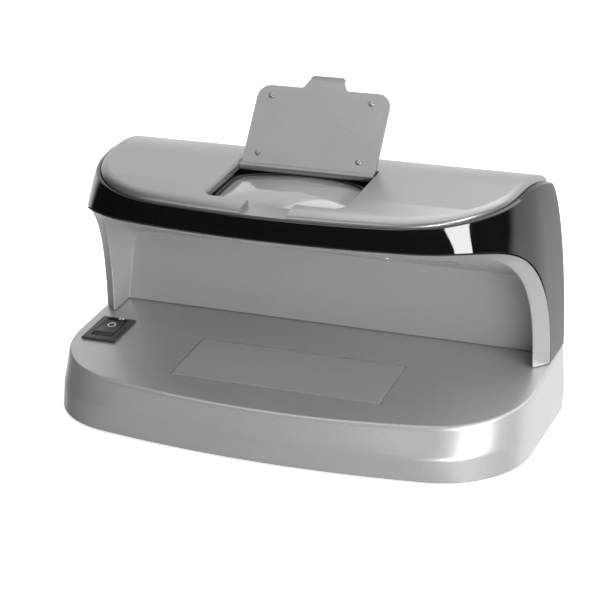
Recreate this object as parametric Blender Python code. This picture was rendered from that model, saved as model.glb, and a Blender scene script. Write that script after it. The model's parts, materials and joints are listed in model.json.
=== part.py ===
"""Counterfeit bill detector: a base with a sloping platen, a C-shaped hood and a magnifier under a flap.

Metres. +Z is up, +X is to the user's right, -Y is towards the user.
The origin is on the table, under the middle of the base.
"""
import math
from collections import namedtuple

import bmesh
import bpy
from mathutils import Matrix, Vector

# ---------------------------------------------------------------- driving dimensions
GAP = 0.0003                 # clearance between neighbouring pieces
BACK_Y = 0.0428              # flat back plane of base and hood

# D-shaped outlines: straight sides, rounded front corners, bowed front
Outline = namedtuple("Outline", "half_width flare front_y front_radius corner_radius")
PLATEN = Outline(0.0940, 0.0, -0.0383, 0.326, 0.0358)
CREASE = Outline(0.0948, 0.0, -0.0428, 0.531, 0.0409)
SKIRT = Outline(0.0944, 0.0, -0.0425, 0.415, 0.0348)
WRAP_FOOT = Outline(0.0855, 0.285, -0.0284, 0.366, 0.0403)
COLUMN = Outline(0.0914, 0.061, -0.0284, 0.366, 0.0403)
LIP = Outline(0.0865, 0.066, -0.0240, 0.362, 0.0532)
COVER = Outline(0.0810, 0.0993, -0.0274, 0.3581, 0.0434)
BEAD = Outline(0.0786, 0.0993, -0.0221, 0.3754, 0.0377)

# base
SKIRT_Z = 0.0015
CREASE_Z = 0.0109
PLATEN_BACK_Z = 0.0281
PLATEN_SLOPE = 0.096
PLATEN_THICKNESS = 0.0025
BASE_WALL = 0.0022
EDGE_ROUND = 0.0008

# arch of the hood, a quarter of a superellipse in side view
Arch = namedtuple("Arch", "front_y foot_y top_z exponent")
OUTER_ARCH = Arch(-0.0284, 0.0264, 0.0822, 2.49)
INNER_ARCH = Arch(-0.02345, 0.0205, 0.07925, 2.49)

# bay
CEILING_BACK_Y = 0.0323
CEILING_BACK_Z = 0.0579
CEILING_SLOPE = 0.379
CEILING_HALF_WIDTH = 0.0821
FLOOR_BACK_Y = 0.0339
FLOOR_HALF_WIDTH = 0.0874
BAY_CORNER_RADIUS = 0.004
SHOULDER_Z = 0.0660
LINER_WALL = 0.0018

# hood
WRAP_WALL = 0.0020
WRAP_BULGE = 1.8
WRAP_LEVELS = 8
RIM_WIDTH = 0.0016
RIM_DROP = 0.0001
COVER_EDGE_BACK_Z = 0.09758
COVER_TOP_BACK_Z = 0.09978
COVER_SLOPE = 0.099
COVER_THICKNESS = 0.0030
REAR_ROLL_LENGTH = 0.0244
REAR_ROLL_DROP = 0.00518
BACK_COVER_THICKNESS = 0.0024

# magnifier window, flap and lens, all in the plane of the cover
WINDOW_HALF_WIDTH = 0.0272
WINDOW_FRONT_Y = -0.0187
WINDOW_BACK_Y = 0.0187
WINDOW_CORNER = 0.005
NOTCH_HALF_WIDTH = 0.0091
NOTCH_DEPTH = 0.0020
LENS_Y = -0.0011
LENS_HALF_WIDTH = 0.0255
LENS_HALF_DEPTH = 0.0184
LENS_BOW_RADIUS = 0.041
LENS_CORNER = 0.007
LENS_RIM_DEPTH = 0.0042
LENS_EDGE = 0.0024
LENS_DOME = 0.0026
LENS_RING_WIDTH = 0.0011
WELL_WALL = 0.0014
HINGE_Y = 0.0152
HINGE_DEPTH = 0.00164
BARREL_RADIUS = 0.0015
PIN_RADIUS = 0.0008
RUNNING_FIT = 0.00006
FLAP_HALF_WIDTH = 0.0268
FLAP_LENGTH = 0.0335
FLAP_THICKNESS = 0.0014
FLAP_CORNER = 0.0050
FLAP_LEAN = math.radians(36.8)
TAB_HALF_WIDTH = 0.0084
TAB_TIP_HALF_WIDTH = 0.0070
TAB_LENGTH = 0.0056
TAB_BEND = 0.0034
NUB_X = 0.0203
NUB_SHIFT = -0.0007
NUB_NEAR = 0.0057
NUB_FAR = 0.0292
NUB_RADIUS = 0.0012

# rocker switch
SWITCH_X = -0.0817
SWITCH_Y = 0.0049
BEZEL_HALF_WIDTH = 0.0074
BEZEL_HALF_LENGTH = 0.0099
BEZEL_HEIGHT = 0.0010
SWITCH_BODY_HALF_WIDTH = 0.0061
SWITCH_BODY_HALF_LENGTH = 0.0091
SWITCH_BODY_DEPTH = 0.0115
ROCKER_HALF_WIDTH = 0.0042
ROCKER_HALF_LENGTH = 0.0071
ROCKER_RIDGE = 0.0049
ROCKER_RISE = 0.0016
ROCKER_SHIFT = 0.0008
ROCKER_PIVOT_DEPTH = 0.0015

# light under the platen
GLOW_HALF_WIDTH = 0.042
GLOW_HALF_DEPTH = 0.015
GLOW_Y = -0.006
GLOW_THICKNESS = 0.0015

# ultraviolet windows in the ceiling
UV_X = 0.0470
UV_Y = 0.0060
UV_HALF_WIDTH = 0.0150
UV_HALF_DEPTH = 0.0085
UV_FILTER_THICKNESS = 0.0015

# fasteners and feet
SCREW_SHAFT = 0.0014
SCREW_HEAD = 0.0028
FOOT_RADIUS = 0.005
FEET = {"left_rear": (-0.078, 0.033), "right_rear": (0.078, 0.033),
        "left_front": (-0.064, -0.022), "right_front": (0.064, -0.022)}
BOTTOM_SCREWS = {"left_rear": (-0.080, 0.020), "right_rear": (0.080, 0.020),
                 "left_front": (-0.046, -0.031), "right_front": (0.046, -0.031)}
PLATE_Z = SKIRT_Z + GAP
PLATE_THICKNESS = 0.0028
PLATE_TOP = PLATE_Z + PLATE_THICKNESS

# electronics
BOARD_THICKNESS = 0.0016
CONTROL_BOARD_Z = 0.0090
GLOW_BOARD_Z = 0.0120
JACK_X = 0.040
JACK_Z = 0.0165


# ---------------------------------------------------------------- materials
def material(name, colour, roughness, metallic=0.0, transmission=0.0):
    made = bpy.data.materials.new(name)
    made.use_nodes = True
    shader = made.node_tree.nodes["Principled BSDF"]
    shader.inputs["Base Color"].default_value = (*colour, 1.0)
    shader.inputs["Roughness"].default_value = roughness
    shader.inputs["Metallic"].default_value = metallic
    shader.inputs["Transmission Weight"].default_value = transmission
    return made


SILVER = material("silver_paint", (0.62, 0.62, 0.62), 0.38, 0.55)
COVER_GREY = material("cover_grey", (0.42, 0.42, 0.42), 0.32, 0.6)
GLOSS_BLACK = material("gloss_black", (0.008, 0.008, 0.008), 0.06)
MATT_BLACK = material("matt_black", (0.02, 0.02, 0.02), 0.5)
CLEAR = material("clear_acrylic", (0.95, 0.97, 0.98), 0.03, 0.0, 1.0)
OPAL = material("opal_acrylic", (0.85, 0.86, 0.84), 0.25)
VIOLET = material("violet_filter", (0.03, 0.01, 0.07), 0.1)
RUBBER = material("rubber", (0.03, 0.03, 0.03), 0.85)
STEEL = material("steel", (0.55, 0.55, 0.56), 0.3, 1.0)
BRASS = material("tinned_brass", (0.60, 0.55, 0.45), 0.35, 1.0)
BOARD = material("circuit_board", (0.02, 0.12, 0.05), 0.5)
LED_BODY = material("led_body", (0.80, 0.80, 0.72), 0.3)
WIRE = material("wire_sheath", (0.25, 0.02, 0.02), 0.5)


# ---------------------------------------------------------------- outlines
def inset(outline, distance):
    """The parallel outline that lies inside by a distance."""
    slant = math.hypot(1.0, outline.flare)
    return Outline(outline.half_width - distance * slant, outline.flare, outline.front_y + distance,
                   outline.front_radius - distance, outline.corner_radius - distance)


def corner_centre(outline):
    """Centre of the arc that is tangent to the side and to the bowed front."""
    reach = outline.half_width - outline.corner_radius * math.hypot(1.0, outline.flare)
    bow_y = outline.front_y + outline.front_radius
    a = outline.flare ** 2 + 1
    b = 2 * (outline.flare * reach - bow_y)
    c = reach ** 2 + bow_y ** 2 - (outline.front_radius - outline.corner_radius) ** 2
    y = (-b - math.sqrt(b * b - 4 * a * c)) / (2 * a)
    return reach + outline.flare * y, y


def ray_on_circle(direction, centre_x, centre_y, radius):
    """Far crossing of a circle and a ray from the middle of the back."""
    to_x = centre_x
    to_y = centre_y - BACK_Y
    along = direction[0] * to_x + direction[1] * to_y
    off = to_x ** 2 + to_y ** 2 - along ** 2
    reach = along + math.sqrt(max(radius ** 2 - off, 0.0))
    return direction[0] * reach, BACK_Y + direction[1] * reach


def outline_point(outline, bearing):
    """Where a ray from the middle of the back meets the outline.

    The bearing is 0 at the right back corner, a quarter turn at the front and a half turn at the left.
    """
    side = 1.0 if bearing <= math.pi / 2 else -1.0
    turn = bearing if side > 0 else math.pi - bearing
    direction = (math.cos(turn), -math.sin(turn))
    centre_x, centre_y = corner_centre(outline)
    slant = math.hypot(1.0, outline.flare)
    side_end_y = centre_y - outline.corner_radius * outline.flare / slant
    reach = (outline.half_width + outline.flare * BACK_Y) / (direction[0] - outline.flare * direction[1])
    x = direction[0] * reach
    y = BACK_Y + direction[1] * reach
    if direction[0] <= 0.0 or y < side_end_y:
        x, y = ray_on_circle(direction, centre_x, centre_y, outline.corner_radius)
        bow_y = outline.front_y + outline.front_radius
        if x * (bow_y - centre_y) < centre_x * (bow_y - y):
            x, y = ray_on_circle(direction, 0.0, bow_y, outline.front_radius)
    return side * x, y


def outline_bearings(outline, side_steps, corner_steps, front_steps):
    """Bearings that follow the sides, corners and front of an outline, from right to left."""
    centre_x, centre_y = corner_centre(outline)
    slant = math.hypot(1.0, outline.flare)
    bow_y = outline.front_y + outline.front_radius
    start = math.atan2(-outline.flare / slant, 1.0 / slant)
    end = math.atan2(centre_y - bow_y, centre_x)
    side_end_y = centre_y - outline.corner_radius * outline.flare / slant
    turns = []
    for step in range(side_steps):
        y = BACK_Y + (side_end_y - BACK_Y) * step / side_steps
        turns.append(math.atan2(BACK_Y - y, outline.half_width + outline.flare * y))
    for step in range(corner_steps):
        angle = start + (end - start) * step / corner_steps
        x = centre_x + outline.corner_radius * math.cos(angle)
        y = centre_y + outline.corner_radius * math.sin(angle)
        turns.append(math.atan2(BACK_Y - y, x))
    for step in range(front_steps):
        angle = end + (-math.pi / 2 - end) * step / front_steps
        x = outline.front_radius * math.cos(angle)
        y = bow_y + outline.front_radius * math.sin(angle)
        turns.append(math.atan2(BACK_Y - y, x))
    return turns + [math.pi / 2] + [math.pi - turn for turn in reversed(turns)]


def ring(outline, bearings, height, back_y=BACK_Y):
    """Outline points at a height that may depend on y; nothing lies behind back_y."""
    points = []
    for bearing in bearings:
        x, y = outline_point(outline, bearing)
        y = min(y, back_y)
        points.append(Vector((x, y, height(y))))
    return points


# ---------------------------------------------------------------- heights
def platen_z(y):
    return PLATEN_BACK_Z + PLATEN_SLOPE * (y - BACK_Y)


def rear_roll(y):
    """How far the back edge of the cover rolls down."""
    part = max(0.0, (y - (BACK_Y - REAR_ROLL_LENGTH)) / REAR_ROLL_LENGTH)
    return REAR_ROLL_DROP * part ** 2


def cover_edge_z(y):
    return COVER_EDGE_BACK_Z + COVER_SLOPE * (y - BACK_Y) - rear_roll(y)


def cover_top_z(y):
    return COVER_TOP_BACK_Z + COVER_SLOPE * (y - BACK_Y) - rear_roll(y)


def ceiling_z(y):
    return CEILING_BACK_Z + CEILING_SLOPE * (CEILING_BACK_Y - y)


def arch_z(arch, y):
    """Height of an arch over a place in y, between its front and its foot."""
    foot_z = platen_z(arch.foot_y) + GAP
    part = min(max((y - arch.front_y) / (arch.foot_y - arch.front_y), 0.0), 1.0)
    rise = (1.0 - part ** arch.exponent) ** (1.0 / arch.exponent)
    return foot_z + (arch.top_z - foot_z) * rise


# ---------------------------------------------------------------- mesh tools
def add_object(name, mesh_builder, surface, matrix=None, sharp=40):
    bmesh.ops.recalc_face_normals(mesh_builder, faces=mesh_builder.faces[:])
    mesh = bpy.data.meshes.new(name)
    mesh_builder.to_mesh(mesh)
    mesh_builder.free()
    mesh.shade_smooth()
    mesh.set_sharp_from_angle(angle=math.radians(sharp))
    made = bpy.data.objects.new(name, mesh)
    bpy.context.scene.collection.objects.link(made)
    if surface:
        mesh.materials.append(surface)
    if matrix:
        made.matrix_world = matrix
    return made


def loft(rings, cap=True):
    """A skin over closed rings of equal length, with flat ends."""
    built = bmesh.new()
    rows = [[built.verts.new(point) for point in points] for points in rings]
    count = len(rows[0])
    for low, high in zip(rows, rows[1:]):
        for index in range(count):
            after = (index + 1) % count
            built.faces.new((low[index], low[after], high[after], high[index]))
    if cap:
        built.faces.new(rows[0])
        built.faces.new(rows[-1])
    return built


def prism(points, low, high):
    """Flat outline points (x, y) raised from one local height to another."""
    return loft([[Vector((x, y, low)) for x, y in points], [Vector((x, y, high)) for x, y in points]])


def arc(centre_x, centre_y, radius, start, end, steps):
    """Points on an arc, angles in degrees."""
    points = []
    for step in range(steps + 1):
        angle = math.radians(start + (end - start) * step / steps)
        points.append((centre_x + radius * math.cos(angle), centre_y + radius * math.sin(angle)))
    return points


def rounded_rectangle(half_x, half_y, radius, steps=4):
    inner_x = half_x - radius
    inner_y = half_y - radius
    points = arc(inner_x, inner_y, radius, 0, 90, steps)
    points += arc(-inner_x, inner_y, radius, 90, 180, steps)
    points += arc(-inner_x, -inner_y, radius, 180, 270, steps)
    return points + arc(inner_x, -inner_y, radius, 270, 360, steps)


def window_outline(half_x, half_y, front_radius, back_radius):
    """A rectangle with different corners at its front and back."""
    points = arc(half_x - back_radius, half_y - back_radius, back_radius, 0, 90, 3)
    points += arc(back_radius - half_x, half_y - back_radius, back_radius, 90, 180, 3)
    points += arc(front_radius - half_x, front_radius - half_y, front_radius, 180, 270, 5)
    return points + arc(half_x - front_radius, front_radius - half_y, front_radius, 270, 360, 5)


def rectangle(half_x, half_y):
    return [(half_x, half_y), (-half_x, half_y), (-half_x, -half_y), (half_x, -half_y)]


def turned(profile, steps=20):
    """A solid of revolution about local Z from (radius, height) points, with flat ends."""
    rings = []
    for radius, height in profile:
        turns = [2 * math.pi * step / steps for step in range(steps)]
        rings.append([Vector((radius * math.cos(turn), radius * math.sin(turn), height)) for turn in turns])
    return loft(rings)


def rod(radius, low, high, steps=20):
    return turned([(radius, low), (radius, high)], steps)


def tube(points, radius, sides=8):
    """A round cable through a list of points."""
    rings = []
    for index, point in enumerate(points):
        before = points[max(index - 1, 0)]
        after = points[min(index + 1, len(points) - 1)]
        forward = (after - before).normalized()
        across = forward.cross(Vector((0.30, 0.10, 0.95))).normalized()
        upward = across.cross(forward)
        turns = [2 * math.pi * side / sides for side in range(sides)]
        rings.append([point + radius * (math.cos(turn) * across + math.sin(turn) * upward) for turn in turns])
    return loft(rings)


def smooth_path(knots, steps):
    """Catmull-Rom points through the knots."""
    ends = [2 * knots[0] - knots[1]] + knots + [2 * knots[-1] - knots[-2]]
    points = []
    for index in range(1, len(ends) - 2):
        a, b, c, d = ends[index - 1:index + 3]
        for step in range(steps):
            t = step / steps
            points.append(0.5 * (2 * b + (c - a) * t + (2 * a - 5 * b + 4 * c - d) * t ** 2
                                 + (3 * b - a - 3 * c + d) * t ** 3))
    return points + [knots[-1]]


def tool(mesh_builder, matrix=None):
    """A shape that only cuts or adds to another object."""
    made = add_object("tool", mesh_builder, None, matrix)
    made.hide_render = True
    made.display_type = "WIRE"
    return made


def combine(target, operation, mesh_builder, matrix=None):
    modifier = target.modifiers.new(operation.lower(), "BOOLEAN")
    modifier.operation = operation
    modifier.solver = "EXACT"
    modifier.object = tool(mesh_builder, matrix)


def cut(target, mesh_builder, matrix=None):
    combine(target, "DIFFERENCE", mesh_builder, matrix)


def join(target, mesh_builder, matrix=None):
    combine(target, "UNION", mesh_builder, matrix)


def at(x, y, z, tilt=0.0):
    """A place, with its local frame tilted about X."""
    return Matrix.Translation((x, y, z)) @ Matrix.Rotation(tilt, 4, "X")


def facing_back(x, y, z):
    """A place whose local +Z points to the back."""
    return Matrix.Translation((x, y, z)) @ Matrix.Rotation(-math.pi / 2, 4, "X")


def across(x, y, z):
    """A place whose local +Z points to the right."""
    return Matrix.Translation((x, y, z)) @ Matrix.Rotation(math.pi / 2, 4, "Y")


# ---------------------------------------------------------------- frames of the sloping faces
PLATEN_TILT = math.atan(PLATEN_SLOPE)
COVER_TILT = math.atan(COVER_SLOPE)
CEILING_TILT = -math.atan(CEILING_SLOPE)
WINDOW_MID_Y = (WINDOW_FRONT_Y + WINDOW_BACK_Y) / 2
WINDOW_FRAME = at(0, WINDOW_MID_Y, cover_top_z(WINDOW_MID_Y), COVER_TILT)
LENS_FRAME = at(0, LENS_Y, cover_top_z(LENS_Y), COVER_TILT)
SWITCH_FRAME = at(SWITCH_X, SWITCH_Y, platen_z(SWITCH_Y), PLATEN_TILT)
GLOW_FRAME = at(0, GLOW_Y, platen_z(GLOW_Y), PLATEN_TILT)
HINGE_Z = cover_top_z(HINGE_Y) - HINGE_DEPTH


def ceiling_frame(side):
    return at(side * UV_X, UV_Y, ceiling_z(UV_Y), CEILING_TILT)


# ---------------------------------------------------------------- base
def build_base_shell():
    bearings = outline_bearings(PLATEN, 2, 9, 12)
    inner_back = BACK_Y - BASE_WALL
    rings = [
        ring(inset(PLATEN, BASE_WALL), bearings, lambda y: platen_z(y) - PLATEN_THICKNESS, inner_back),
        ring(inset(CREASE, BASE_WALL), bearings, lambda y: CREASE_Z, inner_back),
        ring(inset(SKIRT, BASE_WALL), bearings, lambda y: SKIRT_Z, inner_back),
        ring(SKIRT, bearings, lambda y: SKIRT_Z),
        ring(CREASE, bearings, lambda y: CREASE_Z),
        ring(PLATEN, bearings, lambda y: platen_z(y) - EDGE_ROUND),
        ring(inset(PLATEN, EDGE_ROUND), bearings, platen_z, BACK_Y - EDGE_ROUND),
    ]
    base = add_object("base_shell", loft(rings), SILVER)
    for x, y in BOTTOM_SCREWS.values():
        top = platen_z(y) - PLATEN_THICKNESS / 2
        join(base, rod(0.0035, PLATE_TOP + GAP, top, 16), at(x, y, 0))
    for x, y in BOTTOM_SCREWS.values():
        cut(base, rod(SCREW_SHAFT + GAP, 0.0, 0.0125, 16), at(x, y, 0))
    body_x = SWITCH_BODY_HALF_WIDTH + GAP
    body_y = SWITCH_BODY_HALF_LENGTH + GAP
    cut(base, prism(rectangle(body_x, body_y), -0.008, 0.003), SWITCH_FRAME)
    rebate_x = GLOW_HALF_WIDTH + GAP
    rebate_y = GLOW_HALF_DEPTH + GAP
    cut(base, prism(rectangle(rebate_x, rebate_y), -GLOW_THICKNESS - GAP, 0.003), GLOW_FRAME)
    cut(base, prism(rectangle(rebate_x - 0.002, rebate_y - 0.002), -0.008, 0.001), GLOW_FRAME)
    cut(base, rod(0.0040, -0.006, 0.006, 24), facing_back(JACK_X, BACK_Y, JACK_Z))
    cut(base, rod(0.0020, -0.006, 0.006, 12), at(0.060, 0.0378, platen_z(0.0378)))


def build_bottom_plate():
    rim = SKIRT._replace(corner_radius=CREASE.corner_radius)
    bearings = outline_bearings(rim, 2, 8, 10)
    outline = inset(rim, BASE_WALL + GAP + 0.0003)
    back_y = BACK_Y - BASE_WALL - GAP
    rings = [ring(outline, bearings, lambda y: PLATE_Z, back_y),
             ring(outline, bearings, lambda y: PLATE_TOP, back_y)]
    plate = add_object("bottom_plate", loft(rings), MATT_BLACK)
    for x, y in ((-0.034, 0.017), (0.054, 0.017), (-0.034, 0.035), (0.054, 0.030)):
        join(plate, rod(0.0022, PLATE_TOP - 0.001, CONTROL_BOARD_Z - GAP, 12), at(x, y, 0))
    for x in (-0.036, 0.036):
        join(plate, rod(0.0022, PLATE_TOP - 0.001, GLOW_BOARD_Z - GAP, 12), at(x, GLOW_Y, 0))
    for x, y in BOTTOM_SCREWS.values():
        cut(plate, rod(SCREW_SHAFT + GAP, 0.0, 0.006, 16), at(x, y, 0))
        cut(plate, rod(SCREW_HEAD + GAP, 0.0, PLATE_Z + 0.0015, 16), at(x, y, 0))


def build_feet():
    profile = [(FOOT_RADIUS - 0.0005, 0.0), (FOOT_RADIUS, 0.0004), (FOOT_RADIUS, SKIRT_Z)]
    for place, (x, y) in FEET.items():
        add_object("foot_" + place, turned(profile), RUBBER, at(x, y, 0))


def screw_profile(length):
    """A pan-head screw: head from 0 to 1 mm, then the shaft."""
    head = 0.0010
    return [(SCREW_HEAD - 0.0005, 0.0), (SCREW_HEAD, 0.0004), (SCREW_HEAD, head),
            (SCREW_SHAFT, head), (SCREW_SHAFT, length), (SCREW_SHAFT * 0.5, length + 0.001)]


def build_bottom_screws():
    for place, (x, y) in BOTTOM_SCREWS.items():
        add_object("bottom_screw_" + place, turned(screw_profile(0.0085), 16), STEEL, at(x, y, PLATE_Z + 0.0001))


# ---------------------------------------------------------------- light under the platen, electronics
def build_platen_light():
    add_object("platen_window", prism(rounded_rectangle(GLOW_HALF_WIDTH, GLOW_HALF_DEPTH, 0.0002, 1),
                                      -GLOW_THICKNESS, 0.0), OPAL, GLOW_FRAME)
    add_object("backlight_board", prism(rectangle(0.040, 0.010), 0.0, BOARD_THICKNESS), BOARD,
               at(0, GLOW_Y, GLOW_BOARD_Z))
    for index, x in enumerate((-0.030, -0.010, 0.010, 0.030)):
        chip = prism(rounded_rectangle(0.0017, 0.0014, 0.0003, 1), 0.0, 0.0008)
        add_object("backlight_led_%d" % (index + 1), chip, LED_BODY,
                   at(x, GLOW_Y, GLOW_BOARD_Z + BOARD_THICKNESS + GAP))


def build_control_board():
    top = CONTROL_BOARD_Z + BOARD_THICKNESS + GAP
    add_object("control_board", prism(rectangle(0.048, 0.0120), 0.0, BOARD_THICKNESS), BOARD,
               at(0.010, 0.0265, CONTROL_BOARD_Z))
    add_object("control_chip", prism(rectangle(0.005, 0.004), 0.0, 0.0018), MATT_BLACK, at(0.0, 0.026, top))
    can = [(0.0028, 0.0), (0.0030, 0.0003), (0.0030, 0.0077), (0.0027, 0.0080)]
    for index, x in enumerate((0.014, 0.022)):
        add_object("control_capacitor_%d" % (index + 1), turned(can, 16), STEEL, at(x, 0.027, top))
    jack_front = BACK_Y - BASE_WALL - GAP - 0.0130
    low = top - JACK_Z
    jack = add_object("dc_jack", prism([(-0.0045, low), (0.0045, low), (0.0045, 0.0050), (-0.0045, 0.0050)],
                                       0.0, 0.0130), MATT_BLACK,
                      Matrix.Translation((JACK_X, jack_front + 0.0130, JACK_Z))
                      @ Matrix.Rotation(math.pi / 2, 4, "X"))
    cut(jack, rod(0.0032, -0.0095, 0.001, 24), facing_back(JACK_X, jack_front + 0.0130, JACK_Z))


def build_wires():
    top = CONTROL_BOARD_Z + BOARD_THICKNESS + GAP
    climb = [Vector((0.055, 0.0300, top + 0.0008)), Vector((0.0590, 0.0360, top + 0.0030)),
             Vector((0.0600, 0.0378, platen_z(0.0378))), Vector((0.0600, 0.0380, 0.045)),
             Vector((0.0590, 0.0372, 0.064)), Vector((0.0560, 0.0280, 0.074)),
             Vector((0.0540, 0.0180, 0.0745))]
    add_object("wire_uv", tube(smooth_path(climb, 5), 0.0007), WIRE)
    run = [Vector((-0.0375, 0.0260, top + 0.0008)), Vector((-0.046, 0.0230, top - 0.0010)),
           Vector((-0.0600, 0.0160, 0.0085)), Vector((-0.0690, 0.0060, 0.0065))]
    add_object("wire_switch", tube(smooth_path(run, 5), 0.0007), WIRE)


# ---------------------------------------------------------------- rocker switch
def rocker_profile():
    """Side view of the rocker: slanted ends, shallow dished top, tapered underside."""
    sag = 0.0005
    radius = (ROCKER_RIDGE ** 2 + sag ** 2) / (2 * sag)
    sweep = math.degrees(math.asin(ROCKER_RIDGE / radius))
    top = arc(0.0, ROCKER_RISE - sag + radius, radius, -90 + sweep, -90 - sweep, 8)
    return [(0.0035, -0.0060), (ROCKER_HALF_LENGTH, -0.0012), (ROCKER_HALF_LENGTH, 0.0002)] + top + [
        (-ROCKER_HALF_LENGTH, 0.0002), (-ROCKER_HALF_LENGTH, -0.0012), (-0.0035, -0.0060)]


def build_switch():
    step = 0.0004
    housing = add_object("switch_housing", loft([
        [Vector((x, y, GAP)) for x, y in rectangle(BEZEL_HALF_WIDTH, BEZEL_HALF_LENGTH)],
        [Vector((x, y, BEZEL_HEIGHT - step)) for x, y in rectangle(BEZEL_HALF_WIDTH, BEZEL_HALF_LENGTH)],
        [Vector((x, y, BEZEL_HEIGHT)) for x, y in rectangle(BEZEL_HALF_WIDTH - step, BEZEL_HALF_LENGTH - step)],
    ]), MATT_BLACK, SWITCH_FRAME)
    join(housing, prism(rectangle(SWITCH_BODY_HALF_WIDTH, SWITCH_BODY_HALF_LENGTH), -SWITCH_BODY_DEPTH, 0.0006),
         SWITCH_FRAME)
    rocker_frame = SWITCH_FRAME @ Matrix.Translation((0, ROCKER_SHIFT, 0))
    cut(housing, prism(rectangle(ROCKER_HALF_WIDTH + GAP, ROCKER_HALF_LENGTH + 0.0005), -0.0078, 0.003),
        rocker_frame)
    # the part's own origin is its rocking axis
    rows = [[Vector((x, y, z + ROCKER_PIVOT_DEPTH)) for y, z in rocker_profile()]
            for x in (-ROCKER_HALF_WIDTH, ROCKER_HALF_WIDTH)]
    add_object("switch_rocker", loft(rows), MATT_BLACK,
               rocker_frame @ Matrix.Translation((0, 0, -ROCKER_PIVOT_DEPTH)))
    for index, y in enumerate((-0.0055, 0.0, 0.0055)):
        blade = prism(rectangle(0.0024, 0.0004), -SWITCH_BODY_DEPTH - 0.0050, -SWITCH_BODY_DEPTH - GAP)
        add_object("switch_terminal_%d" % (index + 1), blade, BRASS,
                   SWITCH_FRAME @ Matrix.Translation((0, y, 0)))


# ---------------------------------------------------------------- hood
def hood_stations():
    """Bearings of the hood's sections from right to left, with those behind the foot of the arch first."""
    foot_x = WRAP_FOOT.half_width + WRAP_FOOT.flare * OUTER_ARCH.foot_y
    foot = math.atan2(BACK_Y - OUTER_ARCH.foot_y, foot_x)
    turns = [foot * part for part in (0.0, 0.17, 0.34, 0.55, 0.999)]
    centre_x, centre_y = corner_centre(WRAP_FOOT)
    slant = math.hypot(1.0, WRAP_FOOT.flare)
    side_end_y = centre_y - WRAP_FOOT.corner_radius * WRAP_FOOT.flare / slant
    part_end = (side_end_y - OUTER_ARCH.front_y) / (OUTER_ARCH.foot_y - OUTER_ARCH.front_y)
    angle_end = math.asin(part_end ** (OUTER_ARCH.exponent / 2))
    steps = 9
    for step in range(1, steps):
        angle = math.pi / 2 + (angle_end - math.pi / 2) * step / steps
        y = OUTER_ARCH.front_y + (OUTER_ARCH.foot_y - OUTER_ARCH.front_y) * (
            math.sin(angle) ** (2 / OUTER_ARCH.exponent))
        turns.append(math.atan2(BACK_Y - y, WRAP_FOOT.half_width + WRAP_FOOT.flare * y))
    rest = outline_bearings(WRAP_FOOT, 1, 7, 9)
    half = [turn for turn in rest if turns[-1] + 0.02 < turn <= math.pi / 2 - 0.001]
    turns += half
    return turns + [math.pi / 2] + [math.pi - turn for turn in reversed(turns)]


def wrap_bottom(bearing):
    """Lower outer edge of the black wrap: on the base behind the arch, along the arch before it."""
    x, y = outline_point(WRAP_FOOT, bearing)
    if y >= OUTER_ARCH.foot_y:
        x, y = outline_point(COLUMN, bearing)
        return Vector((x, y, platen_z(y) + GAP))
    return Vector((x, y, arch_z(OUTER_ARCH, y)))


def lean_at(z, base_z, top_z, bulge):
    """How much of the way out the wall of the hood is at a height: 1 at its foot, 0 at its rim."""
    part = min(max((z - base_z) / (top_z - base_z), 0.0), 1.0)
    return (1.0 - part ** bulge) ** (1.0 / bulge)


def wrap_section(bearing):
    """Closed section of the wrap: outer wall, rounded rim, inner wall."""
    rim = inset(COVER, -RIM_WIDTH)
    bottom = wrap_bottom(bearing)
    top_x, top_y = outline_point(rim, bearing)
    top_z = cover_edge_z(top_y) - RIM_DROP
    low_turn = min(bearing, math.pi - bearing)
    straightness = min(1.0, low_turn / math.radians(50))
    bulge = WRAP_BULGE + (1.15 - WRAP_BULGE) * straightness
    base_z = platen_z(bottom.y) + GAP
    outer = []
    for level in range(WRAP_LEVELS + 1):
        z = bottom.z + (top_z - 0.0010 - bottom.z) * math.sin(math.pi / 2 * level / WRAP_LEVELS)
        lean = lean_at(z, base_z, top_z, bulge) / lean_at(bottom.z, base_z, top_z, bulge)
        x = top_x + (bottom.x - top_x) * lean
        y = top_y + (bottom.y - top_y) * lean
        outer.append(Vector((x, y, z)))
    cap = []
    for step_in, drop in ((0.0005, 0.0003), (0.0010, 0.0), (RIM_WIDTH - GAP, 0.0004)):
        x, y = outline_point(inset(rim, step_in), bearing)
        cap.append(Vector((x, y, top_z - drop)))
    inward = Vector((-math.cos(bearing), math.sin(bearing), 0.0))
    inner = [point + inward * WRAP_WALL for point in outer[:-1]]
    x, y = outline_point(inset(rim, RIM_WIDTH - GAP), bearing)
    lip = Vector((x, y, top_z - 0.0016))
    inner[-1] = Vector((inner[-1].x, inner[-1].y, min(inner[-1].z, top_z - 0.0022)))
    return outer + cap + [lip] + inner[::-1]


def build_hood_wrap():
    rows = [wrap_section(bearing) for bearing in hood_stations()]
    for section, bearing in ((rows[0], 0.0), (rows[-1], math.pi)):
        for point in section:
            point.y = BACK_Y
    wrap = add_object("hood_wrap", loft(rows), GLOSS_BLACK, sharp=35)
    for side in (-1, 1):
        join(wrap, prism(rectangle(0.0054, 0.0040), -0.0066, 0.0),
             facing_back(side * 0.0852, BACK_Y - BACK_COVER_THICKNESS - GAP, 0.064))
    for side in (-1, 1):
        cut(wrap, rod(SCREW_SHAFT + GAP, -0.0075, 0.001, 16),
            facing_back(side * 0.0835, BACK_Y - BACK_COVER_THICKNESS, 0.064))


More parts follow.
